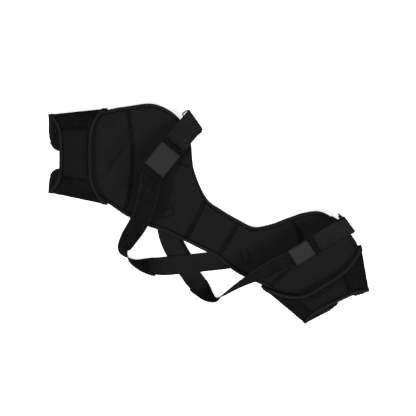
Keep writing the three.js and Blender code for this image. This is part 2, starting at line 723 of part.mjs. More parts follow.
// A ring bent from round wire: two long bars joined by rounded ends
function ringPiece(name, farBar, nearBar, across, half) {
  const centre = farBar.clone().lerp(nearBar, 0.5);
  const up = farBar.clone().sub(nearBar).normalize();
  const normal = across.clone().cross(up).normalize();
  const reach = RING_DEPTH / 2;
  const steps = 24;
  const corners = 8;
  const bend = RING_WIRE;
  const path = (step) => {
    const angle = (step / steps) * Math.PI * 2;
    const corner = new THREE.Vector2(Math.sign(Math.cos(angle)) || 1, Math.sign(Math.sin(angle)) || 1);
    const local = new THREE.Vector2(Math.cos(angle), Math.sin(angle)).multiplyScalar(bend);
    return corner.multiply(new THREE.Vector2(half - bend, reach - bend)).add(local);
  };
  const geometry = sweep(steps, corners, (step, corner) => {
    const here = path(step + 0.5);
    const outward = new THREE.Vector2(
      Math.cos(((step + 0.5) / steps) * Math.PI * 2),
      Math.sin(((step + 0.5) / steps) * Math.PI * 2),
    );
    const angle = (corner / corners) * Math.PI * 2;
    const flat = here.clone().addScaledVector(outward, (Math.cos(angle) * RING_WIRE) / 2);
    return centre.clone().addScaledVector(across, flat.x).addScaledVector(up, flat.y)
      .addScaledVector(normal, (Math.sin(angle) * RING_WIRE) / 2);
  }, true);
  return piece(name, geometry, 'ring');
}

// A webbing tab sewn under the body, which runs out past the rim and round the ring's near bar
function tabPiece(name, bar, fall, across, section, reachAcross, hand) {
  const radius = RING_WIRE / 2 + 2 * CLEARANCE + TAB_WALL / 2;
  const under = NEOPRENE_WALL / 2 + BINDING_BUILD + CLEARANCE + TAB_WALL / 2;
  const bodySteps = 5;
  const turnSteps = 6;
  const speed = bodySurface(section + 0.1, 1).distanceTo(bodySurface(section - 0.1, 1)) / 0.2;
  const sideways = across.clone().multiplyScalar(-hand);
  const surfacePoint = (share, side) => {
    const place = section + side / speed;
    const past = acrossFromEdge(place, -(BINDING_BUILD + 2 * CLEARANCE + TAB_WALL), true);
    const shareAcross = THREE.MathUtils.lerp(reachAcross, past, share);
    return bodySurface(place, shareAcross).addScaledVector(bodyNormal(place, shareAcross), -under);
  };
  const turnPoint = (share, side) => {
    const angle = share * Math.PI;
    return bar.clone().addScaledVector(sideways, side)
      .addScaledVector(fall, radius * Math.cos(angle))
      .addScaledVector(fall.clone().cross(across).multiplyScalar(hand), radius * Math.sin(angle));
  };
  const middleAt = (step, side) => (step <= bodySteps
    ? surfacePoint(step / bodySteps, side)
    : turnPoint((step - bodySteps - 1) / (turnSteps - 1), side));
  const steps = bodySteps + turnSteps;
  return sheet(name, steps, 2, TAB_WALL, 'elastic', (step, station) => {
    const side = (station / 2 - 0.5) * TAB_WIDTH;
    const middle = middleAt(step, side);
    const before = middleAt(Math.max(step - 1, 0), side);
    const after = middleAt(Math.min(step + 1, steps), side);
    const sideWay = middleAt(step, side + 1).sub(middleAt(step, side - 1));
    const normal = after.sub(before).cross(sideWay).normalize();
    return { middle, normal };
  });
}

const brace = new THREE.Group();
for (const panel of BODY_PANELS) {
  brace.add(bodyPanel(panel));
}
brace.add(bodyBinding('upper_edge_binding', true), bodyBinding('lower_edge_binding', false));
for (const corners of BAND_CORNERS) {
  const band = new ArmBand(corners);
  brace.add(middlePanel(band), sidePanel(band, true), sidePanel(band, false));
  brace.add(bandBinding(band, true), bandBinding(band, false));
}
for (const side of STRAP_SIDES) {
  brace.add(...strapSide(side));
}

// The origin is the bottom centre of the whole brace
const bounds = new THREE.Box3().setFromObject(brace, true);
const middle = bounds.getCenter(new THREE.Vector3());
brace.position.set(-middle.x, -middle.y, -bounds.min.z);
brace.updateMatrixWorld(true);

export default brace;
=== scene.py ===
"""A double shoulder brace laid flat with its body side up, in metres, +Z up.

Every cloth piece is a closed sheet over its own smooth surface, with rolled edges, taped rims,
seams and stitches. The surfaces follow the frame's solids, from named sizes and short tables.
"""

from __future__ import annotations

import logging  # noqa: E402
from collections.abc import Callable, Sequence  # noqa: E402
from dataclasses import dataclass, field  # noqa: E402
from enum import Enum  # noqa: E402

import bpy  # noqa: E402
import numpy as np  # noqa: E402
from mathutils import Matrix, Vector  # noqa: E402


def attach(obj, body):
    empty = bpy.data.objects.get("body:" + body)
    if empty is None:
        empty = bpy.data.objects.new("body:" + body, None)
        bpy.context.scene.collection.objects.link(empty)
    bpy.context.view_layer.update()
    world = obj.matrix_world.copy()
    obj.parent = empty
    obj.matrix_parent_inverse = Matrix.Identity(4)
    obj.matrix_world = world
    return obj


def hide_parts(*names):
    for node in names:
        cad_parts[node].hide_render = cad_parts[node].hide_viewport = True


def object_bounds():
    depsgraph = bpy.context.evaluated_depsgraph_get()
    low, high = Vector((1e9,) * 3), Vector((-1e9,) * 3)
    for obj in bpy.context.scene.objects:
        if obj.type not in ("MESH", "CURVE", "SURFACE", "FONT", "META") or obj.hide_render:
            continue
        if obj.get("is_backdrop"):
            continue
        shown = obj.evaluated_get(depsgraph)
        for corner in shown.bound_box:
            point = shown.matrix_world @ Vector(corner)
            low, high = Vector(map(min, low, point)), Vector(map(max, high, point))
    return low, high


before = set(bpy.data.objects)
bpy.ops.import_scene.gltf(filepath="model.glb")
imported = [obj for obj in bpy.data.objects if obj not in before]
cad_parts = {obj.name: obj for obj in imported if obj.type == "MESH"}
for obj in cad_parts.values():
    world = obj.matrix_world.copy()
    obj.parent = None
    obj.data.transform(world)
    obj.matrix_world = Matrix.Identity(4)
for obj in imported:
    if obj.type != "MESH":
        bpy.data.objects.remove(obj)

LOG = logging.getLogger("brace")
Array = np.ndarray
Socket = bpy.types.NodeSocket
MM = 0.001

# Layout of the brace as it lies
SPAN = 692 * MM
DEPTH = 471 * MM
WING_RISE = 30 * MM
ARCH_HEIGHT = 40 * MM
BAND_HEIGHT = 22 * MM
BAND_FLARE = 4 * MM
ORIGIN_SHIFT = np.array([0.517, -0.925, 0.0]) * MM

# Cloth
NEOPRENE_WALL = 3 * MM
BAND_WALL = 2.5 * MM
ELASTIC_WALL = 1.6 * MM
STRAP_WALL = 1.6 * MM
PATCH_WALL = 1 * MM
TAB_WALL = 1.2 * MM
BINDING_WALL = 0.8 * MM
BINDING_WIDTH = 8 * MM
CLEARANCE = 0.35 * MM
BINDING_BUILD = BINDING_WALL + CLEARANCE
BODY_LIFT = ELASTIC_WALL + CLEARANCE + BINDING_BUILD + NEOPRENE_WALL / 2

# Straps and their hardware
STRAP_WIDTH = 45 * MM
ELASTIC_WIDTH = 41 * MM
SHOULDER_STRAP_WIDTH = 50 * MM
PATCH_LENGTH = 60 * MM
END_STRIP = 18 * MM
SEWN_STRIP = 14 * MM
STRAP_LAP = 13 * MM
SEWN_LAP = 12 * MM
EDGING_WIDTH = 3 * MM
RING_WIRE = 4 * MM
RING_DEPTH = 18 * MM
RING_PLAY = 0.8 * MM
SKEW_REACH = 60 * MM
FLARE_REACH = 60 * MM
SHIFT_REACH = 30 * MM
# Width of the dark ribbon that paints shade on the elastic's turned edge
CREASE_SHADE_WIDTH = 8 * MM
TAB_WIDTH = 38 * MM

# Arm bands
FOLD_REACH = 15 * MM
LOBE_CORNER = 22 * MM
JOINT_WIDTH = 12 * MM
EDGE_RIBBON = 8 * MM

# Thread
STITCH_PITCH = 3.2 * MM
STITCH_LENGTH = 2.3 * MM
THREAD = 0.55 * MM
WIDE_THREAD = 0.8 * MM
THREAD_LIFT = 0.1 * MM
# Place along a stitch and radius at each of its rings, and the faces that close its ends
STITCH_SIDES = 6
STITCH_RINGS = np.array([[-0.5, 0.15], [-0.36, 0.85], [0.0, 1.0], [0.36, 0.85], [0.5, 0.15]])
STITCH_CAPS = np.array([[3, 2, 1, 0], [0, 5, 4, 3], [24, 25, 26, 27], [27, 28, 29, 24]])

# Folded tape: places across one face as shares of its width, and the share where it is sewn
TAPE_SHARES = (1, 0.985, 0.95, 0.88, 0.82, 0.76, 0.70, 0.6, 0.45, 0.3, 0.15, 0.05)
TAPE_SEWING = 0.76
TAPE_CROWN = 0.22 * MM
TAPE_DIP = 0.12 * MM
TAPE_PUCKER = 0.06 * MM
TAPE_ROLL = 0.7 * MM
# Painted shade along a tape's rim, for the shadow in the groove where it meets the panel: its width
# and its darkness
GROOVE_SHADE_WIDTH = 1.6 * MM
GROOVE_SHADE_DARKNESS = 0.15

# Materials: specular level and index of refraction, pattern sizes
CLOTH_SHINE = (0.08, 1.1)
GLOSS_SHINE = (0.5, 1.45)
BROAD_SHARE = 0.4
BUMP_HEIGHT = 0.6 * MM
RIB_SCALE = 0.314
THREAD_RIBS = 0.5 * MM
TWILL_RIBS = 1.1 * MM
ELASTIC_RIBS = 1.3 * MM
KNIT_WALES = 1.0 * MM
KNIT_COURSES = 0.8 * MM

# Ribbons: how far their sides roll, and the distance between their places across
RIBBON_ROLL = 0.4 * MM
WIDE_ROLL = 0.5 * MM
WEBBING_ROLL = 0.7 * MM
WEBBING_STEP = 1.5 * MM


class Table:
    """A short table with named columns, read smoothly between its rows."""

    def __init__(self, columns: str, rows: Sequence[Sequence[float]]) -> None:
        """Keeps the rows.

        Args:
            columns: the column names, with spaces between them.
            rows: one list of numbers for each row.
        """
        self.columns = columns.split()
        self.values = np.array(rows, float)
        self.last = len(rows) - 1

    def at(self, column: str, place: Array) -> Array:
        """Gives one column's Catmull-Rom value at fractional rows.

        Args:
            column: the column's name.
            place: row numbers, whole or fractional.

        Returns:
            The values, in place's shape.
        """
        values = self.values[:, self.columns.index(column)]
        place = np.asarray(place, float)
        index = np.clip(np.floor(place).astype(int), 0, self.last - 1)
        t = place - index
        a, b, c, d = (values[np.clip(index + step, 0, self.last)] for step in (-1, 0, 1, 2))
        slope_in, slope_out = (c - a) / 2, (d - b) / 2
        cubic = 2 * b - 2 * c + slope_in + slope_out
        square = 3 * (c - b) - 2 * slope_in - slope_out
        return b + t * (slope_in + t * (square + t * cubic))


# Sections across the body: x columns are shares of SPAN, y of DEPTH, rises of WING_RISE
BODY_SECTIONS = Table(
    "upper_x upper_y middle_x middle_y lower_x lower_y upper_rise middle_rise lower_rise",
    [
        [-0.438, 0.409, -0.444, 0.272, -0.438, 0.135, 0.17, 0.15, 0.17],
        [-0.376, 0.438, -0.376, 0.262, -0.376, 0.097, 0.17, 0.15, 0.17],
        [-0.317, 0.476, -0.317, 0.262, -0.317, 0.054, 0.22, 0.13, 0.20],
        [-0.255, 0.491, -0.239, 0.240, -0.264, 0.002, 0.52, 0.03, 0.32],
        [-0.168, 0.500, -0.180, 0.217, -0.205, -0.043, 0.72, 0.02, 0.25],
        [-0.096, 0.440, -0.121, 0.171, -0.158, -0.068, 0.70, 0.02, 0.12],
        [-0.059, 0.336, -0.090, 0.116, -0.127, -0.084, 0.45, 0.00, 0.03],
        [-0.047, 0.203, -0.068, 0.048, -0.103, -0.103, 0.15, 0.00, 0.02],
        [-0.009, 0.075, -0.040, -0.025, -0.078, -0.119, 0.05, 0.00, 0.04],
        [0.040, 0.018, 0.006, -0.071, -0.028, -0.155, 0.03, 0.00, 0.08],
        [0.096, -0.030, 0.062, -0.112, 0.025, -0.196, 0.03, 0.00, 0.05],
        [0.140, -0.059, 0.112, -0.162, 0.084, -0.262, 0.08, 0.00, 0.02],
        [0.190, -0.048, 0.183, -0.171, 0.133, -0.299, 0.18, 0.00, 0.06],
        [0.249, -0.016, 0.283, -0.162, 0.184, -0.334, 0.42, 0.00, 0.20],
        [0.298, 0.007, 0.326, -0.189, 0.204, -0.362, 0.60, 0.03, 0.21],
        [0.351, 0.009, 0.351, -0.217, 0.230, -0.386, 0.68, 0.08, 0.18],
        [0.410, -0.048, 0.367, -0.253, 0.249, -0.411, 0.56, 0.12, 0.18],
        [0.460, -0.138, 0.370, -0.294, 0.264, -0.431, 0.36, 0.16, 0.18],
        [0.467, -0.262, 0.380, -0.345, 0.283, -0.450, 0.18, 0.16, 0.18],
    ],
)
BODY_PANELS = {
    "left_wing_panel": (0, 3),
    "left_shoulder_panel": (3, 8),
    "yoke_panel": (8, 10),
    "right_shoulder_panel": (10, 13),
    "right_wing_panel": (13, 18),
}
# Section where each flatlock seam lies, and its width
BODY_SEAMS = {
    "left_wing_seam": (3, 9 * MM),
    "left_yoke_seam": (8, 10 * MM),
    "right_yoke_seam": (10, 10 * MM),
    "right_wing_seam": (13, 9 * MM),
}
# Section, share across, reach along, reach across, depth as a share of WING_RISE, and lean
BODY_DENTS = (
    (2.44, 0.72, 0.20, 0.12, 0.20, 2.4),
    (2.69, 0.33, 0.20, 0.13, 0.20, 2.0),
    (2.50, 0.50, 0.17, 0.17, -0.34, 2.2),
    (2.06, 0.50, 0.13, 0.50, 0.11, 0.0),
)
# Stitch lines that hold what is sewn behind the body, as x and y shares
BODY_MARKS = {
    "strap_box": [
        (-0.147, 0.018), (-0.113, 0.032), (-0.110, 0.0), (-0.143, -0.016), (-0.147, 0.018),
    ],
    "strap_line": [(0.096, -0.167), (0.109, -0.231)],
    "strap_corner": [(0.118, -0.155), (0.130, -0.208), (0.115, -0.226)],
    "tab_seam": [(-0.094, 0.237), (-0.062, 0.222)],
    "tab_seam_below": [(-0.094, 0.229), (-0.062, 0.214)],
}
# Lower mouth, lower wing, upper mouth and upper wing corners, as x and y shares
BAND_CORNERS = {
    "left": [(-0.500, 0.098), (-0.317, 0.042), (-0.500, 0.460), (-0.317, 0.487)],
    "right": [(0.298, -0.500), (0.160, -0.330), (0.500, -0.349), (0.475, -0.139)],
}
# Places of the joints round the front, as shares of the half width: lower, upper
BAND_JOINTS = {"left": (-0.58, 0.62), "right": (-0.70, 0.50)}
# How far the front's mouth and wing edges curve in, as shares of the band's length
BAND_DIPS = {"left": (0.20, 0.27), "right": (0.10, 0.46)}
# How much deeper the wing edge curves in towards the band's lower side
BAND_LEANS = {"left": 0.0, "right": 0.26}
# Each back end's distance from the middle, and how far its rounding runs: lower, upper
BAND_LOBES = {
    "left": ((32 * MM, 30 * MM), (8 * MM, 34 * MM)),
    "right": ((-15 * MM, 30 * MM), (38 * MM, 22 * MM)),
}
TRACK_COLUMNS = "x y lift layer roll"
SHOULDER_TRACKS = {
    "left": Table(
        TRACK_COLUMNS,
        [
            [-0.040, 0.432, 0.84, 0, 0],
            [-0.065, 0.388, 0.91, 0, 0],
            [-0.106, 0.316, 0.97, 0, 1],
            [-0.152, 0.233, 0.98, 0, 2],
            [-0.188, 0.169, 0.94, 0, 4],
        ],
    ),
    "right": Table(
        TRACK_COLUMNS,
        [
            [0.432, -0.038, 0.64, 0, 38],
            [0.382, -0.082, 0.65, 0, 38],
            [0.339, -0.121, 0.62, 0, 41],
            [0.295, -0.160, 0.54, 0, 41],
            [0.252, -0.199, 0.48, 0, 40],
        ],
    ),
}
LOWER_TRACKS = {
    "left": Table(
        TRACK_COLUMNS,
        [
            [-0.172, 0.212, 0.96, 0, 3],
            [-0.180, 0.157, 0.90, 0, 6],
            [-0.188, 0.089, 0.79, 0, 14],
            [-0.199, 0.021, 0.67, 0, 22],
            [-0.221, -0.048, 0.54, 0, 24],
            [-0.251, -0.116, 0.35, 0, 36],
            [-0.265, -0.160, 0.14, 0, 56],
            [-0.250, -0.200, 0.02, 0, 88],
            [-0.220, -0.226, 0.02, 0, 112],
            [-0.178, -0.238, 0.02, 0.3, 144],
            [-0.134, -0.236, 0.02, 1, 168],
            [-0.084, -0.230, 0.01, 1.2, 178],
            [-0.034, -0.222, 0.00, 1.3, 180],
            [-0.003, -0.217, 0.00, 0.8, 180],
            [0.040, -0.210, 0.00, 0, 180],
            [0.118, -0.194, 0.00, 0, 180],
        ],
    ),
    "right": Table(
        TRACK_COLUMNS,
        [
            [0.273, -0.178, 0.51, 0, 41],
            [0.249, -0.201, 0.48, 0, 40],
            [0.196, -0.240, 0.44, 0, 38],
            [0.152, -0.272, 0.36, 0, 50],
            [0.118, -0.299, 0.23, 0, 64],
            [0.078, -0.334, 0.08, 0, 75],
            [0.042, -0.369, 0.02, 0, 84],
            [0.021, -0.388, 0.01, 0, 96],
            [0.000, -0.376, 0.01, 0, 116],
            [-0.021, -0.345, 0.01, 0, 140],
            [-0.041, -0.308, 0.00, 0, 164],
            [-0.057, -0.276, 0.00, 0, 180],
            [-0.086, -0.205, 0.00, 0, 180],
            [-0.110, -0.144, 0.00, 0, 180],
            [-0.123, -0.094, 0.00, 0, 180],
            [-0.134, 0.002, 0.00, 0, 180],
        ],
    ),
}


def unit(vectors: Array) -> Array:
    """Scales vectors to length 1 along their last axis."""
    return vectors / np.maximum(np.linalg.norm(vectors, axis=-1, keepdims=True), 1e-12)


def clear_of(vectors: Array, way: Array) -> Array:
    """Takes the part along a unit way out of vectors, and scales the rest to length 1."""
    return unit(vectors - way * (vectors * way).sum(-1, keepdims=True))


def mix(first: Array, second: Array, share: Array) -> Array:
    """Goes from first at share 0 to second at share 1."""
    return first + (second - first) * share


def smooth(value: Array) -> Array:
    """Eases a share from 0 to 1, clamped: three squares less two cubes."""
    t = np.clip(value, 0, 1)
    return t * t * (3 - 2 * t)


def bell(value: Array, centre: float, width: float) -> Array:
    """Gives a bell curve, 1 at its centre: e to minus the square of the distance in widths."""
    return np.exp(-(((value - centre) / width) ** 2))


def grid(first: Array, second: Array) -> Sequence[Array]:
    """Gives both values at every crossing of rows and columns."""
    return np.meshgrid(first, second, indexing="ij")


def spans(points: Array, axis: int = 0) -> Array:
    """Gives the distances between neighbouring points along an axis."""
    return np.linalg.norm(np.diff(points, axis=axis), axis=-1)


def running(steps: Array) -> Array:
    """Adds steps up, from 0."""
    return np.append(0.0, np.cumsum(steps))


def lengths_along(points: Array) -> Array:
    """Gives the distance run along a line of points, from 0."""
    return running(spans(points))


def read_line(places: Array, run: Array, values: Array) -> Array:
    """Reads a line's columns of values at distances along it, straight between its rows."""
    return np.stack([np.interp(places, run, column) for column in values.T], -1)


def stations(length: float, spacing: float, edge: float) -> Array:
    """Spaces places along a length, closer together inside its rolled ends.

    Args:
        length: the whole length.
        spacing: the distance between places in the middle.
        edge: how far each rolled end reaches.

    Returns:
        The places from 0 to length.
    """
    ease = edge * np.array([0.0, 0.06, 0.25, 0.55])
    count = max(2, round((length - 2 * edge) / spacing) + 1)
    return np.concatenate([ease, np.linspace(edge, length - edge, count), (length - ease)[::-1]])


def roll_off(place: Array, length: float, edge: float) -> Array:
    """Gives the share of full thickness near rolled ends: a quarter circle from 0 at the rim."""
    distance = np.minimum(place, length - place)
    return np.sqrt(1 - (1 - np.clip(distance / edge, 0, 1)) ** 2)


def ribbon_half(rows: int, side: Array, width: float, half: float, edge: float) -> Array:
    """Gives a ribbon's half thickness, with rolled sides and closed ends.

    Args:
        rows: how many places lie along it.
        side: places across it, from 0.
        width: its width.
        half: its half thickness inside.
        edge: how far each rolled side reaches.

    Returns:
        The half thickness, in rows along it and columns across.
    """
    thickness = np.outer(np.ones(rows), half * roll_off(side, width, edge))
    thickness[[0, -1]] = 0
    return thickness


def surface_normal(
    surface: Callable, along: Array, across: Array, step: float = 0.002
) -> Array:
    """Gives a surface's unit normals: the cross of its differences along and across each place."""
    along_way = surface(along + step, across) - surface(along - step, across)
    across_way = surface(along, across + step) - surface(along, across - step)
    return unit(np.cross(along_way, across_way))


def grain(along: Array, across: Array, seed: int, waves: int = 60) -> Array:
    """Sums seeded waves into an even, irregular texture between about -1 and 1.

    Args:
        along: distance along, in cells of the texture.
        across: distance across, in the same cells.
        seed: picks the texture.
        waves: how many waves are summed.

    Returns:
        The texture's height at each place.
    """
    rng = np.random.default_rng(seed)
    angle = rng.uniform(0, 2 * np.pi, waves)
    speed = rng.uniform(0.6, 1.4, waves) * 2 * np.pi
    phase = rng.uniform(0, 2 * np.pi, waves)
    total = np.zeros(np.broadcast(along, across).shape)
    for a, s, p in zip(angle, speed, phase):
        total = total + np.sin(s * (np.cos(a) * along + np.sin(a) * across) + p)
    return total / np.sqrt(waves)


def tier(upper: bool) -> str:
    """Names the upper or lower one of a pair."""
    return "upper" if upper else "lower"


class Weave(Enum):
    """The cloth patterns that a finish can carry."""

    KNIT = "knit"
    PILE = "pile"
    ELASTIC = "elastic"
    HOOK = "hook"
    TAPE = "tape"
    THREAD = "thread"
    GLOSS = "gloss"


@dataclass(frozen=True)
class Finish:
    """One material's look.

    Args:
        name: the finish's plain name.
        slot: a material slot's name; not used.
        weave: the pattern of its bump and colour.
        dark: linear grey in the pattern's hollows.
        light: linear grey on its crests.
        roughness: the shader's roughness.
        sheen: weight of the soft edge glow of cloth.
        bump: strength of the pattern's relief.
    """

    name: str
    slot: str
    weave: Weave
    dark: float
    light: float
    roughness: float
    sheen: float
    bump: float


NEOPRENE = Finish("body_cloth", "neoprene", Weave.KNIT, 0.0044, 0.0086, 0.86, 0.008, 0.35)
BAND_CLOTH = Finish("band_cloth", "neoprene", Weave.KNIT, 0.0034, 0.0068, 0.86, 0.006, 0.35)
LOOP = Finish("strap_pile", "loop_pile", Weave.PILE, 0.0024, 0.0082, 0.95, 0.004, 0.7)
LOOP_BACK = Finish("strap_pile_back", "loop_pile", Weave.ELASTIC, 0.0040, 0.0090, 0.8, 0.006, 0.3)
BAND_LOOP = Finish("band_pile", "loop_pile", Weave.PILE, 0.0025, 0.0059, 0.95, 0.003, 0.6)
BAND_LINING = Finish("band_lining", "loop_pile", Weave.KNIT, 0.0034, 0.0066, 0.88, 0.005, 0.3)
ELASTIC = Finish("ribbed_elastic", "elastic", Weave.ELASTIC, 0.0052, 0.0136, 0.74, 0.007, 0.4)
WEBBING = Finish("smooth_webbing", "elastic", Weave.ELASTIC, 0.0066, 0.0145, 0.74, 0.008, 0.3)
PATCH = Finish("grip", "grip", Weave.HOOK, 0.0113, 0.0188, 0.66, 0.008, 0.35)
# Dark pile of the sewn strips beside the patch; on the elastic's turned edge the same finish is
# painted shade
STRIP_AND_CREASE_SHADE = Finish("sewn_strip_and_crease_shade", "elastic", Weave.PILE, 0.0018, 0.0078, 0.85, 0.003, 0.7)
SEAM = Finish("flatlock_seam", "elastic", Weave.PILE, 0.0030, 0.0078, 0.85, 0.003, 0.6)
JOINT = Finish("joint_ribbon", "elastic", Weave.PILE, 0.0028, 0.0078, 0.85, 0.003, 0.6)
TAPE = Finish("folded_tape", "binding", Weave.TAPE, 0.0044, 0.0088, 0.74, 0.009, 0.45)
EDGING = Finish("strap_edging", "binding", Weave.ELASTIC, 0.0064, 0.0130, 0.74, 0.007, 0.3)
THREADS = Finish("thread", "binding", Weave.THREAD, 0.0008, 0.0024, 0.6, 0.0, 0.3)
RING_GLOSS = Finish("ring", "ring", Weave.GLOSS, 0.0030, 0.0050, 0.28, 0.0, 0.05)


class NodeTree:
    """A new material's nodes, with one way to add, set and join them."""

    def __init__(self, name: str) -> None:
        """Starts the material.

        Args:
            name: the material's name.
        """
        self.material = bpy.data.materials.new(name)
        self.material.use_nodes = True
        self.nodes = self.material.node_tree.nodes
        self.shader = self.nodes["Principled BSDF"]

    def feed(self, node: bpy.types.Node, inputs: dict) -> None:
        """Sets a node's inputs, each to a value or to another node's output."""
        for key, value in inputs.items():
            if isinstance(value, Socket):
                self.material.node_tree.links.new(value, node.inputs[key])
            else:
                node.inputs[key].default_value = value

    def add(self, kind: str, inputs: dict, **settings: str) -> bpy.types.Node:
        """Adds a node.

        Args:
            kind: the node's type, without its common beginning.
            inputs: its inputs, by name or number.
            settings: its own settings.

        Returns:
            The new node.
        """
        node = self.nodes.new(f"ShaderNode{kind}")
        for name, value in settings.items():
            setattr(node, name, value)
        self.feed(node, inputs)
        return node

    def noise(self, vector: Socket, scale: float, detail: float) -> Socket:
        """Adds a noise texture and gives its value."""
        return self.add("TexNoise", {"Vector": vector, "Scale": scale, "Detail": detail}).outputs[0]

    def ribs(self, vector: Socket, pitch: float, direction: str) -> Socket:
        """Adds slightly uneven ribs at a pitch in metres and gives their value."""
        inputs = {"Vector": vector, "Scale": RIB_SCALE / pitch, "Distortion": 0.6, "Detail": 1.0}
        return self.add("TexWave", inputs, bands_direction=direction).outputs["Fac"]

    def join(self, operation: str, first: Socket, second: Socket) -> Socket:
        """Joins two values with one operation."""
        return self.add("Math", {0: first, 1: second}, operation=operation).outputs[0]


class MaterialMaker:
    """Builds each finish's procedural material once."""

    def __init__(self) -> None:
        """Starts with no materials."""
        self.made: dict[Finish, bpy.types.Material] = {}

    def get(self, finish: Finish) -> bpy.types.Material:
        """Gives the finish's material, made on first use."""
        if finish not in self.made:
            self.made[finish] = self._build(finish)
        return self.made[finish]

    def _build(self, finish: Finish) -> bpy.types.Material:
        """Makes the shader, its pattern, its colour and its bump."""
        tree = NodeTree(finish.name)
        place = tree.add("TexCoord", {})
        solid_place, flat_place = place.outputs["Object"], place.outputs["UV"]
        height = self._pattern(finish.weave, tree, solid_place, flat_place)
        broad = tree.noise(solid_place, 38.0, 3.0)
        blend = tree.add("Mix", {0: BROAD_SHARE, 2: height, 3: broad})
        ramp = tree.add("ValToRGB", {0: blend.outputs[0]})
        tones = zip(ramp.color_ramp.elements, (0.25, 0.75), (finish.dark, finish.light))
        for element, position, tone in tones:
            element.position, element.color = position, (tone, tone, tone, 1)
        colour = ramp.outputs[0]
        # Tapes carry painted shade along their rim, for the groove's shadow
        if finish.weave is Weave.TAPE:
            colour = self._paint_groove_shade(tree, flat_place, colour)
        bump_inputs = {"Strength": finish.bump, "Distance": BUMP_HEIGHT, "Height": height}
        specular, ior = GLOSS_SHINE if finish.weave is Weave.GLOSS else CLOTH_SHINE
        shader_inputs = {
            "Roughness": finish.roughness,
            "Sheen Weight": finish.sheen,
            "Sheen Roughness": 0.5,
            "Specular IOR Level": specular,
            "IOR": ior,
            "Base Color": colour,
            "Normal": tree.add("Bump", bump_inputs).outputs[0],
        }
        tree.feed(tree.shader, shader_inputs)
        return tree.material

    @staticmethod
    def _paint_groove_shade(tree: NodeTree, flat: Socket, colour: Socket) -> Socket:
        """Paints shade into a tape's colour along its rim, where its pattern place across is near
        0: the shadow in the groove where the tape meets the panel.
        """
        parts = tree.add("SeparateXYZ", {0: flat})
        reach = {0: parts.outputs[1], 1: GROOVE_SHADE_WIDTH, 2: 1.6 * GROOVE_SHADE_WIDTH, 3: GROOVE_SHADE_DARKNESS}
        rim = tree.add("MapRange", reach)
        inputs = {0: colour, "Scale": rim.outputs[0]}
        return tree.add("VectorMath", inputs, operation="SCALE").outputs[0]

    @staticmethod
    def _pattern(weave: Weave, tree: NodeTree, solid: Socket, flat: Socket) -> Socket:
        """Gives the pattern's height.

        Args:
            weave: which pattern.
            tree: the material's nodes.
            solid: the place on the object.
            flat: the place on the cloth, along and across.

        Returns:
            The output with the height.
        """
        if weave is Weave.PILE:
            cells = tree.add("TexVoronoi", {"Vector": solid, "Scale": 760.0})
            tufts = tree.noise(solid, 400.0, 2.0)
            spread = tree.add("MapRange", {0: tufts, 1: 0.38, 2: 0.62, 4: 1.6})
            return tree.join("MULTIPLY", spread.outputs[0], cells.outputs["Distance"])
        if weave is Weave.HOOK:
            cell_inputs = {"Vector": flat, "Scale": 700.0, "Randomness": 0.35}
            cells = tree.add("TexVoronoi", cell_inputs)
            return tree.join("ADD", cells.outputs["Distance"], tree.noise(solid, 120.0, 4.0))
        if weave is Weave.GLOSS:
            return tree.noise(solid, 300.0, 3.0)
        if weave is Weave.THREAD:
            return tree.ribs(flat, THREAD_RIBS, "DIAGONAL")
        if weave is Weave.TAPE:
            twill = tree.ribs(flat, TWILL_RIBS, "DIAGONAL")
            return tree.join("ADD", twill, tree.noise(solid, 240.0, 3.0))
        if weave is Weave.ELASTIC:
            ribs = tree.ribs(flat, ELASTIC_RIBS, "Y")
            stretched = tree.add("Mapping", {"Vector": flat, "Scale": (110.0, 900.0, 1.0)})
            return tree.join("MULTIPLY", ribs, tree.noise(stretched.outputs[0], 1.0, 3.0))
        wales, courses = tree.ribs(flat, KNIT_WALES, "X"), tree.ribs(flat, KNIT_COURSES, "Y")
        knit = tree.join("MULTIPLY", wales, courses)
        return tree.join("ADD", knit, tree.noise(solid, 420.0, 3.0))


MATERIALS = MaterialMaker()


def quads(index: Array) -> Array:
    """Gives the four-cornered faces between a grid's rows and columns of point numbers."""
    corners = [index[:-1, :-1], index[1:, :-1], index[1:, 1:], index[:-1, 1:]]
    return np.stack(corners, -1).reshape(-1, 4)


@dataclass
class Cloth:
    """A sheet of cloth over a grid of places.

    Args:
        middle: the cloth's middle, in rows along it and columns across.
        normal: the way its face looks.
        half: half its thickness, 0 on the rim.
        relief: extra height on its face.
        spread: distances along and across, for the pattern.
    """

    middle: Array
    normal: Array
    half: Array
    relief: Array | float = 0.0
    spread: Array | None = None

    def flat(self) -> tuple[float, float, float]:
        """Gives the sheet's longest width and length, and its area: half its diagonals' crosses."""
        first = self.middle[1:, 1:] - self.middle[:-1, :-1]
        second = self.middle[1:, :-1] - self.middle[:-1, 1:]
        area = np.linalg.norm(np.cross(first, second), axis=-1).sum() / 2
        width, length = spans(self.middle, 1).sum(1).max(), spans(self.middle).sum(0).max()
        return float(width), float(length), float(min(area, width * length))

    def face(self) -> Array:
        """Gives the points of its face."""
        return self.middle + self.normal * (self.half + self.relief)[..., None]

    def mesh(self) -> tuple[Array, Array, Array]:
        """Closes the sheet: its face and its back share the rim's points.

        Returns:
            Points, four-cornered faces and pattern places.
        """
        rows, columns = self.half.shape
        inside = np.zeros((rows, columns), bool)
        inside[1:-1, 1:-1] = True
        top = np.arange(rows * columns).reshape(rows, columns)
        under = top.copy()
        under[inside] = rows * columns + np.arange(inside.sum())
        back = self.middle - self.normal * self.half[..., None]
        points = np.concatenate([self.face().reshape(-1, 3), back[inside]])
        spread = self.spread
        if spread is None:
            along, across = spans(self.middle).mean(1), spans(self.middle, 1).mean(0)
            spread = np.stack(grid(running(along), running(across)), -1)
        places = np.concatenate([spread.reshape(-1, 2), spread[inside]])
        return points, np.concatenate([quads(top), quads(under)[:, ::-1]]), places


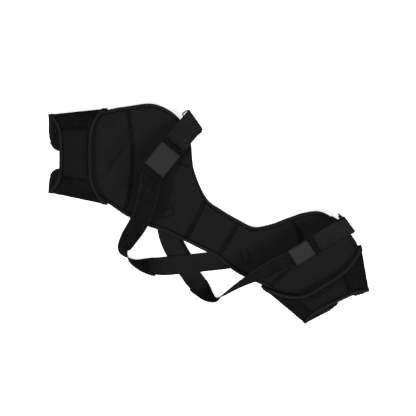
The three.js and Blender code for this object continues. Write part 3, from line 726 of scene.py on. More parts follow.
def solid(
    name: str,
    points: Array,
    faces: Array,
    places: Array,
    finish: Finish,
    nodes: Sequence[str] = (),
    back: Finish | None = None,
) -> bpy.types.Object:
    """Makes a closed mesh piece that faces out, rides the root and takes its finish.

    Args:
        name: the piece's name.
        points: its points.
        faces: its four-cornered faces.
        places: pattern place of each point.
        finish: its look.
        nodes: the frame's nodes that it stands for.
        back: the look of the second half of its faces, where that differs.

    Returns:
        The new object.
    """
    a, b, c, d = (points[faces[:, corner]] for corner in range(4))
    if (a * (np.cross(b, c) + np.cross(c, d))).sum() < 0:
        faces = faces[:, ::-1]
    mesh = bpy.data.meshes.new(name)
    mesh.from_pydata((points + ORIGIN_SHIFT).tolist(), [], faces.tolist())
    layer = mesh.uv_layers.new(name="UVMap")
    layer.data.foreach_set("uv", places[faces.ravel()].astype(np.float32).ravel())
    mesh.polygons.foreach_set("use_smooth", np.ones(len(faces), bool))
    mesh.materials.append(MATERIALS.get(finish))
    if back is not None:
        mesh.materials.append(MATERIALS.get(back))
        mesh.polygons.foreach_set("material_index", np.repeat([0, 1], len(faces) // 2))
    piece = bpy.data.objects.new(name, mesh)
    bpy.context.scene.collection.objects.link(piece)
    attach(piece, "root")
    if nodes:
        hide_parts(*nodes)
    LOG.info("%s: %d faces in %s", name, len(faces), finish.name)
    return piece


def cloth_piece(
    name: str,
    cloth: Cloth,
    finish: Finish,
    nodes: Sequence[str] | None = None,
    back: Finish | None = None,
) -> None:
    """Makes a sheet of cloth.

    Args:
        name: the piece's name.
        cloth: its surface.
        finish: its look.
        nodes: the frame's nodes that it stands for, or the one of its own name.
        back: the look of its back, where that differs.
    """
    piece = solid(name, *cloth.mesh(), finish, [name] if nodes is None else nodes, back)


@dataclass
class Stitching:
    """Gathers rows of thread into one mesh of small, closed, pointed stitches.

    Args:
        name: the piece's name.
        rows: centre, way, normal and size of the stitches in each row.
    """

    name: str
    rows: list[tuple[Array, Array, Array, Array]] = field(default_factory=list)

    def row(
        self,
        line: Array,
        normal: Array,
        pitch: float = STITCH_PITCH,
        length: float = STITCH_LENGTH,
        thick: float = THREAD,
    ) -> None:
        """Sews one row along a line of points.

        Args:
            line: points on the cloth's face.
            normal: the face's normals there.
            pitch: distance between stitches.
            length: length of a stitch.
            thick: width of the thread.
        """
        run = lengths_along(line)
        if run[-1] < pitch:
            return
        where = np.arange(pitch / 2, run[-1], pitch)
        way = read_line(where + pitch / 4, run, line) - read_line(where - pitch / 4, run, line)
        facing = read_line(where, run, normal)
        self._add(read_line(where, run, line), way, facing, length, thick)

    def ladder(
        self, one: Array, other: Array, normal: Array, pitch: float, thick: float = THREAD
    ) -> None:
        """Sews slanted stitches between two lines that run side by side.

        Args:
            one: points of the first line.
            other: points of the second line.
            normal: the face's normals along them.
            pitch: distance between stitches.
            thick: width of the thread.
        """
        run = lengths_along((one + other) / 2)
        where = np.arange(pitch / 2, run[-1] - pitch, pitch)
        first, second = read_line(where, run, one), read_line(where + pitch * 0.8, run, other)
        length = np.linalg.norm(second - first, axis=-1)
        facing = read_line(where, run, normal)
        self._add((first + second) / 2, second - first, facing, length, thick)

    def _add(
        self, centres: Array, ways: Array, normals: Array, length: Array | float, thick: float
    ) -> None:
        """Adds stitches at centres, along ways."""
        sizes = np.stack([np.full(len(centres), 1.0) * length, np.full(len(centres), thick)], -1)
        self.rows.append((centres, unit(ways), unit(normals), sizes))

    def make(self) -> None:
        """Makes the piece: each stitch is five rings of six points on an ellipse, with two caps."""
        centre, way, normal, size = (np.concatenate(part) for part in zip(*self.rows))
        normal = clear_of(normal, way)
        side = np.cross(way, normal)
        count, sides = len(STITCH_RINGS), STITCH_SIDES
        turns = np.linspace(0, 2 * np.pi, sides, endpoint=False)
        along, radius = (np.repeat(column, sides) for column in STITCH_RINGS.T)
        circle = (np.sin(turns), np.cos(turns))
        over, beside = (radius / 2 * np.tile(part, count) for part in circle)
        points = (
            centre[:, None]
            + way[:, None] * (along[None, :] * size[:, :1])[..., None]
            + normal[:, None] * (over[None, :] * size[:, 1:])[..., None]
            + side[:, None] * (beside[None, :] * size[:, 1:])[..., None]
        )
        ring = np.arange(count * sides).reshape(count, sides)
        after = np.roll(ring, -1, 1)
        walls = np.stack([ring[:-1], after[:-1], after[1:], ring[1:]], -1).reshape(-1, 4)
        faces = np.concatenate([walls, STITCH_CAPS])
        every = (faces[None] + ring.size * np.arange(len(centre))[:, None, None]).reshape(-1, 4)
        pattern = np.stack([along * STITCH_LENGTH, beside * THREAD], -1)
        places = np.tile(pattern, (len(centre), 1))
        solid(self.name, points.reshape(-1, 3), every, places, THREADS)


def fold_profile(wall: float) -> tuple[Array, Array, Array, Array]:
    """Lays a tape's middle round a cloth edge: in over one face, round a half ellipse, and back.

    Args:
        wall: the cloth's thickness.

    Returns:
        Reach inside the edge, height off the cloth's middle, and the two parts of the way it faces.
    """
    height = wall / 2 + BINDING_WALL / 2 + 0.1 * MM
    nose = BINDING_BUILD - BINDING_WALL / 2 - 0.05 * MM
    run = BINDING_WIDTH * np.array(TAPE_SHARES)
    angle = np.linspace(0, np.pi, 9)
    crown = TAPE_CROWN * np.sin(np.pi * np.clip(run / (TAPE_SEWING * BINDING_WIDTH), 0, 1))
    dip = TAPE_DIP * bell(run / BINDING_WIDTH, TAPE_SEWING, 0.07)
    reach = np.concatenate([run, -nose * np.sin(angle), run[::-1]])
    level = height + crown - dip
    rise = np.concatenate([level, height * np.cos(angle), -level[::-1]])
    facing_in = np.concatenate([0 * run, -np.sin(angle), 0 * run])
    facing_up = np.concatenate([0 * run + 1, np.cos(angle), 0 * run - 1])
    return reach, rise, facing_in, facing_up


def taped_edge(
    name: str,
    edge: Array,
    inward: Array,
    normals: tuple[Array, Array],
    wall: float,
    sewing: Stitching,
    nodes: Sequence[str] | None = None,
) -> None:
    """Folds a tape over a cloth edge and sews it.

    Args:
        name: the tape's name.
        edge: points along the middle of the cloth's edge.
        inward: unit vectors into the cloth.
        normals: the cloth's normals at the edge and at the tape's inner rim.
        wall: the cloth's thickness.
        sewing: the stitching that takes its row.
        nodes: the frame's nodes that it stands for.
    """
    reach, rise, facing_in, facing_up = (part[None, :, None] for part in fold_profile(wall))
    inward = inward[:, None]
    share = np.clip(reach / BINDING_WIDTH, 0, 1)
    normal = unit(mix(normals[0][:, None], normals[1][:, None], share))
    middle = edge[:, None] + inward * reach + normal * rise
    facing = unit(inward * facing_in + normal * facing_up)
    run = lengths_along(edge)
    around = running(np.hypot(np.diff(reach[0, :, 0]), np.diff(rise[0, :, 0])))
    waves = np.sin(2 * np.pi * run / STITCH_PITCH)[:, None]
    pucker = TAPE_PUCKER * waves * bell(reach[..., 0] / BINDING_WIDTH, TAPE_SEWING, 0.2)
    ends = roll_off(run, run[-1], RIBBON_ROLL) > 0
    half = BINDING_WALL / 2 * np.outer(ends, roll_off(around, around[-1], TAPE_ROLL))
    cloth = Cloth(middle, facing, half, pucker * (half > 0), np.stack(grid(run, around), -1))
    cloth_piece(name, cloth, TAPE, nodes)
    line = TAPE_SHARES.index(TAPE_SEWING)
    lift = THREAD_LIFT / 2
    sewing.row(cloth.face()[:, line] + facing[:, line] * lift, facing[:, line])


@dataclass
class Body:
    """The neoprene body: five panels, their seams, and the tapes over the two long edges.

    Args:
        section_length: a section's usual length, for spacing and puckers.
        rolled_edge: how far a panel's ends are rolled.
        pucker: height of the waves along the sewn edges.
        softness: height of the cloth's slow unevenness.
        seam_lift: height of a seam's ribbon over the panel's face.
        seam_half: half thickness of that ribbon.
        seam_ridge: height of its two ridges.
        seam_thread: width of its thread.
        seam_pitch: distance between its stitches.
        place_step: distance between a panel's places along the body.
        mark_stitch: pitch, length and thread width of the marks on its face.
        sewing: the body's stitching.
    """

    section_length: float = 48 * MM
    rolled_edge: float = 1.2 * MM
    pucker: float = 0.16 * MM
    softness: float = 0.10 * MM
    seam_lift: float = 0.12 * MM
    seam_half: float = 0.22 * MM
    seam_ridge: float = 0.35 * MM
    seam_thread: float = 0.4 * MM
    seam_pitch: float = 2.1 * MM
    place_step: float = 2.6 * MM
    mark_stitch: tuple[float, float, float] = (2.6 * MM, 2.5 * MM, 1.5 * MM)
    sewing: Stitching = field(default_factory=lambda: Stitching("body_stitches"))

    def surface(self, section: Array, across: Array) -> Array:
        """Gives points on the body's middle surface.

        Across the body each value is the parabola through its lower, middle and upper ones; along
        the body these run smoothly between the sections. Each dent takes a leaning bell off the
        rise.

        Args:
            section: place along the body, in sections.
            across: share across it, from the lower edge 0 to the upper edge 1.

        Returns:
            The points.
        """
        section, across = np.broadcast_arrays(np.asarray(section, float), np.asarray(across, float))
        lower, upper = (1 - across) * (1 - 2 * across), across * (2 * across - 1)
        weights = {"lower": lower, "middle": 4 * across * (1 - across), "upper": upper}

        def blend(column: str) -> Array:
            """Mixes a column's lower, middle and upper values."""
            parts = weights.items()
            return sum(part * BODY_SECTIONS.at(f"{row}_{column}", section) for row, part in parts)

        rise = blend("rise")
        for place, level, reach, width, depth, lean in BODY_DENTS:
            off = section - place - lean * (across - level)
            rise = rise - depth * np.exp(-((off / reach) ** 2 + ((across - level) / width) ** 2))
        rest = 0.012 * np.sin(2.3 * section + 5 * across) * np.sin(1.1 * section - 7 * across + 1)
        height = BODY_LIFT + (rise + rest * across * (1 - across) * 4) * WING_RISE
        return np.stack([blend("x") * SPAN, blend("y") * DEPTH, height], -1)

    def normal(self, section: Array, across: Array) -> Array:
        """Gives the body's upward normals."""
        return surface_normal(self.surface, np.asarray(section, float), np.asarray(across, float))

    def inset(self, section: Array, reach: float, upper: bool) -> Array:
        """Gives the share across that lies reach inside an edge."""
        edge, inward = (1.0, -0.01) if upper else (0.0, 0.01)
        step = self.surface(section, edge + inward) - self.surface(section, edge)
        return edge + np.sign(inward) * reach / (np.linalg.norm(step, axis=-1) / abs(inward))

    def make(self) -> None:
        """Makes the panels, seams, tapes and stitches."""
        for name, (start, end) in BODY_PANELS.items():
            self._panel(name, start, end)
        for name, (section, width) in BODY_SEAMS.items():
            self._seam(name, section, width)
        self._binding("upper_edge_binding", True)
        self._binding("lower_edge_binding", False)
        self._marks()
        self.sewing.make()

    def _panel(self, name: str, start: float, end: float) -> None:
        """Makes one panel between two sections."""
        length = (end - start) * self.section_length
        run = stations(length, self.place_step, self.rolled_edge)
        pull = CLEARANCE / 4 / self.section_length
        section = start + pull + run / length * (end - start - 2 * pull)
        rim = np.array([0, 0.004, 0.012])
        across = np.concatenate([rim, np.linspace(0.02, 0.98, 78), 1 - rim[::-1]])
        sections, shares = grid(section, across)
        half = np.outer(roll_off(run, length, self.rolled_edge), np.ones(len(across)))
        half[:, [0, -1]] = 0
        half[[0, -1]] = 0
        near = np.minimum(shares, 1 - shares)
        pucker = self.pucker * np.sin(2 * np.pi * sections * 5.5) * bell(near, 0.055, 0.03)
        soft = self.softness * grain(sections * 2.2, shares * 9, 7, 24) * np.minimum(1, near * 12)
        middle, normal = self.surface(sections, shares), self.normal(sections, shares)
        relief = (pucker + soft) * (half > 0.9)
        cloth_piece(name, Cloth(middle, normal, half * NEOPRENE_WALL / 2, relief), NEOPRENE)

    def _seam(self, name: str, section: float, width: float) -> None:
        """Makes a flatlock seam: a low ribbon with two ridges, and slanted thread over each."""
        ends = (self.inset(section, BINDING_WIDTH * 0.9, upper) for upper in (False, True))
        across = np.linspace(*ends, 110)
        place = stations(width, 0.45 * MM, WIDE_ROLL)
        side = place - width / 2
        step = self.surface(section + 0.01, across) - self.surface(section - 0.01, across)
        sections = section + side[None, :] / (np.linalg.norm(step, axis=-1) / 0.02)[:, None]
        shares = np.broadcast_to(across[:, None], sections.shape)
        normal = self.normal(sections, shares)
        middle = self.surface(sections, shares) + normal * (NEOPRENE_WALL / 2 + self.seam_lift)
        half = ribbon_half(len(across), place, width, self.seam_half, WIDE_ROLL)
        ridge = self.seam_ridge * bell(np.abs(side), width * 0.27, width * 0.13)
        cloth = Cloth(middle, normal, half, ridge[None, :] * (half > 0))
        cloth_piece(name, cloth, SEAM, nodes=())
        face = cloth.face()
        for way in (-1, 1):
            inner, outer = (np.abs(side - way * width * share).argmin() for share in (0.10, 0.44))
            facing = normal[:, inner]
            over = 0.4 * self.seam_thread * facing
            outside = face[:, outer] + over
            self.sewing.row(outside, facing, self.seam_pitch, 1.5 * MM, 2 * self.seam_thread)
            inside = face[:, inner] + over
            self.sewing.ladder(inside, outside, facing, self.seam_pitch, self.seam_thread)

    def _binding(self, name: str, upper: bool) -> None:
        """Makes the tape over one long edge."""
        section = np.linspace(0, BODY_SECTIONS.last, 330)
        rim = np.full(len(section), 1.0 if upper else 0.0)
        rims = (rim, self.inset(section, BINDING_WIDTH, upper))
        edge, inside = (self.surface(section, share) for share in rims)
        normals = tuple(self.normal(section, share) for share in rims)
        taped_edge(name, edge, unit(inside - edge), normals, NEOPRENE_WALL, self.sewing)

    def _marks(self) -> None:
        """Sews the stitch lines on the body's face, each point from the nearest of a fine grid."""
        places = grid(np.linspace(2, 13, 500), np.linspace(0, 1, 120))
        surface, facing = (part(*places).reshape(-1, 3) for part in (self.surface, self.normal))
        for shares in BODY_MARKS.values():
            corners = np.array(shares) * np.array([SPAN, DEPTH])
            run = lengths_along(corners)
            line = read_line(np.linspace(0, run[-1], round(run[-1] / MM)), run, corners)
            off = (((surface[:, :2] - point) ** 2).sum(-1).argmin() for point in line)
            nearest = np.array(list(off))
            base, normal = surface[nearest], facing[nearest]
            slope = (normal[:, :2] * (line - base[:, :2])).sum(-1) / normal[:, 2]
            points = np.column_stack([line, base[:, 2] - slope])
            points = points + normal * (NEOPRENE_WALL / 2 + THREAD_LIFT)
            self.sewing.row(points, normal, *self.mark_stitch)


@dataclass
class ArmBand:
    """Cloth folded flat round a wing's end, with a gap between its two ends behind.

    The loop value runs from the lower back end, below -2, over the front at 0, to the upper back
    end.

    Args:
        side: left or right.
        pile_relief: height of the pile's unevenness.
        cloth_relief: height of the smooth cloth's unevenness.
        pucker: height of the waves along the tapes.
        ribbon_half: half thickness of the sewn ribbons.
        ridge: height of the joint ribbons' ridges.
        ladder_pitch: distance between the joint ribbons' stitches.
        ladder_thread: width of their thread.
        ribbon_lift: height of the edge ribbon's middle over the cloth's face.
        joint_lift: the same of the joint ribbons.
        pile_cell: size of the cloth's uneven patches.
        pucker_length: length of the waves along the tapes.
    """

    side: str
    pile_relief: float = 0.16 * MM
    cloth_relief: float = 0.08 * MM
    pucker: float = 0.12 * MM
    ribbon_half: float = 0.2 * MM
    ridge: float = 0.25 * MM
    ladder_pitch: float = 2.4 * MM
    ladder_thread: float = 0.7 * MM
    ribbon_lift: float = 0.25 * MM
    joint_lift: float = 0.3 * MM
    pile_cell: float = 9 * MM
    pucker_length: float = 11 * MM

    def __post_init__(self) -> None:
        """Reads the band's corners, and finds its length, its joints and which way it faces."""
        corners = np.array(BAND_CORNERS[self.side]) * np.array([SPAN, DEPTH])
        corners = np.column_stack([corners, np.zeros(4)])
        self.lower_mouth, self.lower_wing, self.upper_mouth, self.upper_wing = corners
        middle_mouth = (self.upper_mouth + self.lower_mouth) / 2
        middle_wing = (self.upper_wing + self.lower_wing) / 2
        self.length = float(np.linalg.norm(middle_mouth - middle_wing))
        self.sewing = Stitching(f"{self.side}_band_stitches")
        half = self.half_width
        joints = BAND_JOINTS[self.side]
        self.joints = [float(joint * half / (half - FOLD_REACH)) for joint in joints]
        up = surface_normal(self.surface, np.array(0.0), np.array(0.5))[2]
        self.sign = 1.0 if up > 0 else -1.0

    @property
    def half_width(self) -> Array:
        """Gives half the band's width at its middle."""
        return self.measures(np.array(0.5))[0]

    def measures(self, share: Array) -> tuple[Array, Array, Array, Array]:
        """Gives half width, height, centre and side way at a share from mouth to wing."""
        part = np.asarray(share, float)[..., None]
        lower = mix(self.lower_mouth, self.lower_wing, part)
        upper = mix(self.upper_mouth, self.upper_wing, part)
        half = np.linalg.norm(upper - lower, axis=-1) / 2 - BAND_WALL / 2 - BINDING_BUILD
        height = BAND_HEIGHT + BAND_FLARE * np.asarray(share, float) - BAND_WALL - 2 * BINDING_BUILD
        return half, height, (lower + upper) / 2, unit(upper - lower)

    def surface(self, loop: Array, share: Array) -> Array:
        """Gives the middle surface: a flat front, half ellipses at the folds, a flat back."""
        loop, share = np.broadcast_arrays(np.asarray(loop, float), np.asarray(share, float))
        half, height, centre, side = self.measures(share)
        flat, amount = half - FOLD_REACH, np.abs(loop)
        angle = (np.clip(amount, 1, 2) - 1) * np.pi
        back = flat - (amount - 2) * flat
        folded = np.where(amount <= 2, flat + FOLD_REACH * np.sin(angle), back)
        across = np.where(amount <= 1, amount * flat, folded) * np.where(loop < 0, -1, 1)
        points = centre + side * across[..., None]
        points[..., 2] = BAND_WALL / 2 + BINDING_BUILD + height * (1 + np.cos(angle)) / 2
        return points

    def edge_shares(self, loop: Array) -> tuple[Array, Array]:
        """Gives the shares from mouth to wing of the cloth's two edges.

        On the front each edge dips in by one less the fourth power of the share across.
        """
        half = self.half_width
        flat, amount = half - FOLD_REACH, np.abs(np.asarray(loop, float))
        turned = flat + FOLD_REACH * np.sin((np.clip(amount, 1, 2) - 1) * np.pi)
        across = np.where(amount <= 1, amount * flat, turned)
        dip = np.where(amount < 1.5, 1 - (across / half) ** 4, 0)
        mouth_dip, wing_dip = BAND_DIPS[self.side]
        lean = 1 - BAND_LEANS[self.side] * np.sign(loop) * across / half
        return mouth_dip * dip, 1 - wing_dip * dip * lean

    def border(self, loop: Array) -> Array:
        """Gives the share of the cloth's width that a tape covers."""
        mouth, wing = self.edge_shares(loop)
        return BINDING_WIDTH / (self.length * (wing - mouth))

    def back_end(self, width_share: Array, upper: bool) -> Array:
        """Gives the loop value where a back end lies, with a quarter ellipse at each corner."""
        rest, sweep = BAND_LOBES[self.side][upper]
        mouth, wing = self.edge_shares(2.9)
        share = mix(mouth, wing, width_share)
        flat = self.measures(share)[0] - FOLD_REACH
        to_corner = np.minimum(share - mouth, wing - share) * self.length
        into = np.clip(1 - to_corner / LOBE_CORNER, 0, 1)
        return 3 - (rest + sweep * (1 - np.sqrt(1 - into**2))) / flat

    def place(self, loop: Array, width_share: Array) -> tuple[Array, Array]:
        """Gives the cloth's points and outward normals at loop values and shares of its width."""
        share = mix(*self.edge_shares(loop), width_share)
        return self.surface(loop, share), surface_normal(self.surface, loop, share) * self.sign

    def make(self) -> None:
        """Makes the panels, joints, tapes and stitches."""
        border = float(self.border(np.array(0.0)))
        inner = np.linspace(border * 0.5, 1 - border * 0.5, 34)
        width = np.concatenate([[0, 0.008], inner, [0.992, 1]])
        front = np.broadcast_to(np.linspace(*self.joints, 60)[:, None], (60, len(width)))
        self._panel("arm_band", front, width, BAND_CLOTH, 3)
        for upper in (True, False):
            name, loops = f"{tier(upper)}_loop_panel", self._side_loops(upper, width, 60)
            self._panel(name, loops, width, BAND_LOOP, 11 if upper else 12)
            self._joint(upper, border)
            self._lobe_tape(upper)
        for mouth_side in (True, False):
            self._binding(mouth_side)
        self._edge_ribbon()
        self.sewing.make()

    def _side_loops(self, upper: bool, width: Array, steps: int) -> Array:
        """Gives loop values from the joint round the fold to the back's end, at width shares."""
        way, joint = (1, self.joints[1]) if upper else (-1, -self.joints[0])
        parts = [np.linspace(*ends, steps // 2, endpoint=False) for ends in ((joint, 1), (1, 2))]
        ahead = np.concatenate(parts)[:, None]
        back = np.append(np.linspace(0, 0.98, steps // 2), [0.993, 1])[:, None]
        behind = 2 + (self.back_end(width, upper)[None, :] - 2) * back
        return way * np.concatenate([np.broadcast_to(ahead, (len(ahead), len(width))), behind])

    def _panel(self, part: str, loops: Array, width: Array, finish: Finish, seed: int) -> None:
        """Makes one panel of the band.

        Args:
            part: the panel's name on either side.
            loops: its loop values, in rows along it and columns across.
            width: shares of the cloth's width.
            finish: its look.
            seed: picks its unevenness.
        """
        piled = finish is BAND_LOOP
        shares = np.broadcast_to(width[None, :], loops.shape)
        middle, normal = self.place(loops, shares)
        half = np.full(loops.shape, BAND_WALL / 2)
        half[[0, -1]] = 0
        half[:, [0, -1]] = 0
        along = running(spans(middle).mean(1))[:, None]
        wide = shares * self.length * 0.54
        near = np.minimum(shares, 1 - shares)
        uneven = self.pile_relief if piled else self.cloth_relief
        relief = uneven * grain(along / self.pile_cell, wide / self.pile_cell, seed, 30)
        waves = self.pucker * np.sin(2 * np.pi * along / self.pucker_length)
        relief = relief + waves * bell(near, 0.12, 0.05)
        spread = np.stack([np.broadcast_to(along, wide.shape), wide], -1)
        cloth = Cloth(middle, normal, half, relief * (half > 0), spread)
        held, back = ("folded", BAND_LINING) if piled else ("laid", None)
        cloth_piece(f"{self.side}_{part}", cloth, finish, back=back)

    def _edge_ribbon(self) -> None:
        """Makes the flat ribbon beside the wing edge's tape, between the two joints."""
        side = stations(EDGE_RIBBON, 0.6 * MM, RIBBON_ROLL)
        loops = np.linspace(*self.joints, 80)[1:-1]
        width = 1 - self.border(loops)[:, None] * (0.97 + side[None, :] / BINDING_WIDTH)
        middle, normal = self.place(np.broadcast_to(loops[:, None], width.shape), width)
        half = ribbon_half(len(loops), side, EDGE_RIBBON, self.ribbon_half, RIBBON_ROLL)
        cloth = Cloth(middle + normal * (BAND_WALL / 2 + self.ribbon_lift), normal, half)
        cloth_piece(f"{self.side}_edge_ribbon", cloth, JOINT, nodes=())
        inner = len(side) - 3
        self.sewing.row(cloth.face()[:, inner], normal[:, inner], thick=WIDE_THREAD)

    def _joint(self, upper: bool, border: float) -> None:
        """Makes the flat ribbon over the joint of two panels, with thread ladders."""
        place = stations(JOINT_WIDTH, 0.8 * MM, WIDE_ROLL)
        side = place - JOINT_WIDTH / 2
        width = np.linspace(border * 0.9, 1 - border * 0.9, 50)
        centre, flat = self.joints[upper], float(self.half_width - FOLD_REACH)
        middle, normal = self.place(*grid(centre + side / flat, width))
        half = ribbon_half(len(width), place, JOINT_WIDTH, self.ribbon_half, WIDE_ROLL).T
        ridge = self.ridge * np.abs(np.sin(2.5 * np.pi * side / JOINT_WIDTH * 2))[:, None]
        lifted = middle + normal * (BAND_WALL / 2 + self.joint_lift)
        cloth = Cloth(lifted, normal, half, ridge * (half > 0))
        cloth_piece(f"{self.side}_{tier(upper)}_joint", cloth, JOINT, nodes=())
        face = cloth.face()
        for levels in ((0.08, 0.34), (0.37, 0.63), (0.66, 0.92)):
            one, other = (np.abs(side / JOINT_WIDTH + 0.5 - level).argmin() for level in levels)
            over = normal[one] * 2 * THREAD_LIFT
            lines = (face[one] + over, face[other] + over, normal[one])
            self.sewing.ladder(*lines, self.ladder_pitch, self.ladder_thread)

    def _binding(self, mouth_side: bool) -> None:
        """Makes the tape over the mouth's or the wing's long edge."""
        rim = 0.0 if mouth_side else 1.0
        lower, upper = (self._side_loops(side, np.array([rim]), 90)[:, 0] for side in (False, True))
        loops = np.concatenate([lower[::-1], np.linspace(*self.joints, 60)[1:-1], upper])
        edge, edge_normal = self.place(loops, np.full(len(loops), rim))
        inside, inside_normal = self.place(loops, np.abs(rim - self.border(loops)))
        inward = clear_of(clear_of(inside - edge, edge_normal), unit(np.gradient(edge, axis=0)))
        name = f"{self.side}_{'mouth' if mouth_side else 'inner'}_binding"
        taped_edge(name, edge, inward, (edge_normal, inside_normal), BAND_WALL, self.sewing)

    def _lobe_tape(self, upper: bool) -> None:
        """Makes the tape round a back end's rounded lobe."""
        way = 1 if upper else -1
        width = 0.02 + 0.96 * (0.5 - 0.5 * np.cos(np.pi * np.linspace(0, 1, 90)))
        loop = way * self.back_end(width, upper)
        edge, normal = self.place(loop, width)
        inward = unit(np.cross(normal, unit(np.gradient(edge, axis=0))))
        toward = self.place(loop - way * 0.05, width)[0] - edge
        inward = inward * np.sign((inward * toward).sum(-1, keepdims=True))
        name = f"{self.side}_{tier(upper)}_lobe_tape"
        taped_edge(name, edge, inward, (normal, normal), BAND_WALL, self.sewing, ())


class Track:
    """A strap's centre line with its height and its roll about itself."""

    DIVISIONS = 200

    def __init__(
        self, rows: Table, hand: int, width: float, wall: float, skew: float = 0.0
    ) -> None:
        """Lays the centre line.

        Args:
            rows: the track's table.
            hand: 1 or -1, the side that lies inside the turn.
            width: the strap's width.
            wall: its thickness.
            skew: how far its first end runs slanted, as a share of the place across.
        """
        self.rows, self.hand, self.width, self.wall, self.skew = rows, hand, width, wall, skew
        inner = rows.values[:, :2] * np.array([SPAN, DEPTH])
        self.points = np.vstack([2 * inner[0] - inner[1], inner, 2 * inner[-1] - inner[-2]])
        self.shares = np.linspace(0, 1, self.DIVISIONS + 1)
        self.runs = lengths_along(self.line(self.shares))
        self.length = float(self.runs[-1])

    def line(self, share: Array) -> Array:
        """Gives points at shares of the row count: a cubic whose ends' slopes weigh each span.

        The weights are the square roots of the distances between rows (centripetal Catmull-Rom).
        """
        place = np.asarray(share, float) * self.rows.last
        index = np.clip(np.floor(place).astype(int), 0, self.rows.last - 1)
        t = (place - index)[..., None]
        x0, x1, x2, x3 = (self.points[index + step] for step in range(4))
        pairs = ((x0, x1), (x1, x2), (x2, x3))
        d0, d1, d2 = (np.sqrt(np.linalg.norm(b - a, axis=-1, keepdims=True)) for a, b in pairs)
        into = ((x1 - x0) / d0 - (x2 - x0) / (d0 + d1) + (x2 - x1) / d1) * d1
        out = ((x2 - x1) / d1 - (x3 - x1) / (d1 + d2) + (x3 - x2) / d2) * d1
        square, cubic = -3 * x1 + 3 * x2 - 2 * into - out, 2 * x1 - 2 * x2 + into + out
        return x1 + t * (into + t * (square + t * cubic))

    def centre(self, distance: Array) -> tuple[Array, Array]:
        """Gives centre points and rolls at distances, going on straight past either end.

        The height is the arch's, plus the layers below, plus half of what the roll stands up.
        """
        distance = np.asarray(distance, float)
        inside = np.clip(distance, 0, self.length)
        share = np.interp(inside, self.runs, self.shares)
        row = share * self.rows.last
        roll = np.radians(self.rows.at("roll", row))
        lift = np.maximum(0, self.rows.at("lift", row)) * ARCH_HEIGHT
        layers = np.maximum(0, self.rows.at("layer", row)) * (ELASTIC_WALL + CLEARANCE)
        height = self.wall / 2 + lift + layers + np.abs(np.sin(roll)) * self.width / 2
        ahead, behind = (self.line(np.clip(share + step, 0, 1)) for step in (1e-4, -1e-4))
        flat = self.line(share) + unit(ahead - behind) * (distance - inside)[..., None]
        return np.concatenate([flat, height[..., None]], -1), roll

    def frame(self, distance: Array) -> tuple[Array, Array, Array, Array]:
        """Gives the centre and the ways along, across and off the face at distances."""
        distance = np.asarray(distance)
        centre, roll = self.centre(distance)
        along = unit(self.centre(distance + MM)[0] - self.centre(distance - MM)[0])
        level = unit(np.stack([-along[..., 1], along[..., 0], 0 * along[..., 0]], -1)) * self.hand
        across = level * np.cos(roll)[..., None]
        across[..., 2] += np.sin(roll)
        across = clear_of(across, along)
        return centre, along, across, np.cross(along, across) * self.hand

    def slanted(self, distance: Array, side: Array) -> Array:
        """Gives the distance with the first end's slant, which fades along the strap."""
        return distance + self.skew * side * np.clip(1 - np.asarray(distance) / SKEW_REACH, 0, 1)

    def point(self, distance: Array, side: Array, rise: Array) -> Array:
        """Gives points of a strap laid on the track."""
        centre, _, across, face = self.frame(self.slanted(distance, side))
        return centre + across * np.asarray(side)[..., None] + face * np.asarray(rise)[..., None]


def straight(
    start: float, end: float, rise: float, rise_end: float | None = None, steps: int = 24
) -> Array:
    """Gives distance and rise pairs of a straight or gently rising stretch."""
    share = np.linspace(0, 1, steps + 1)
    rises = mix(rise, rise if rise_end is None else rise_end, smooth(share))
    return np.column_stack([mix(start, end, share), rises])


def half_turn(distance: float, rise: float, radius: float) -> Array:
    """Gives distance and rise pairs round a half circle, without its ends."""
    angle = np.linspace(0, np.pi, 25)[1:-1]
    return np.column_stack([distance - radius * np.sin(angle), rise - radius * np.cos(angle)])


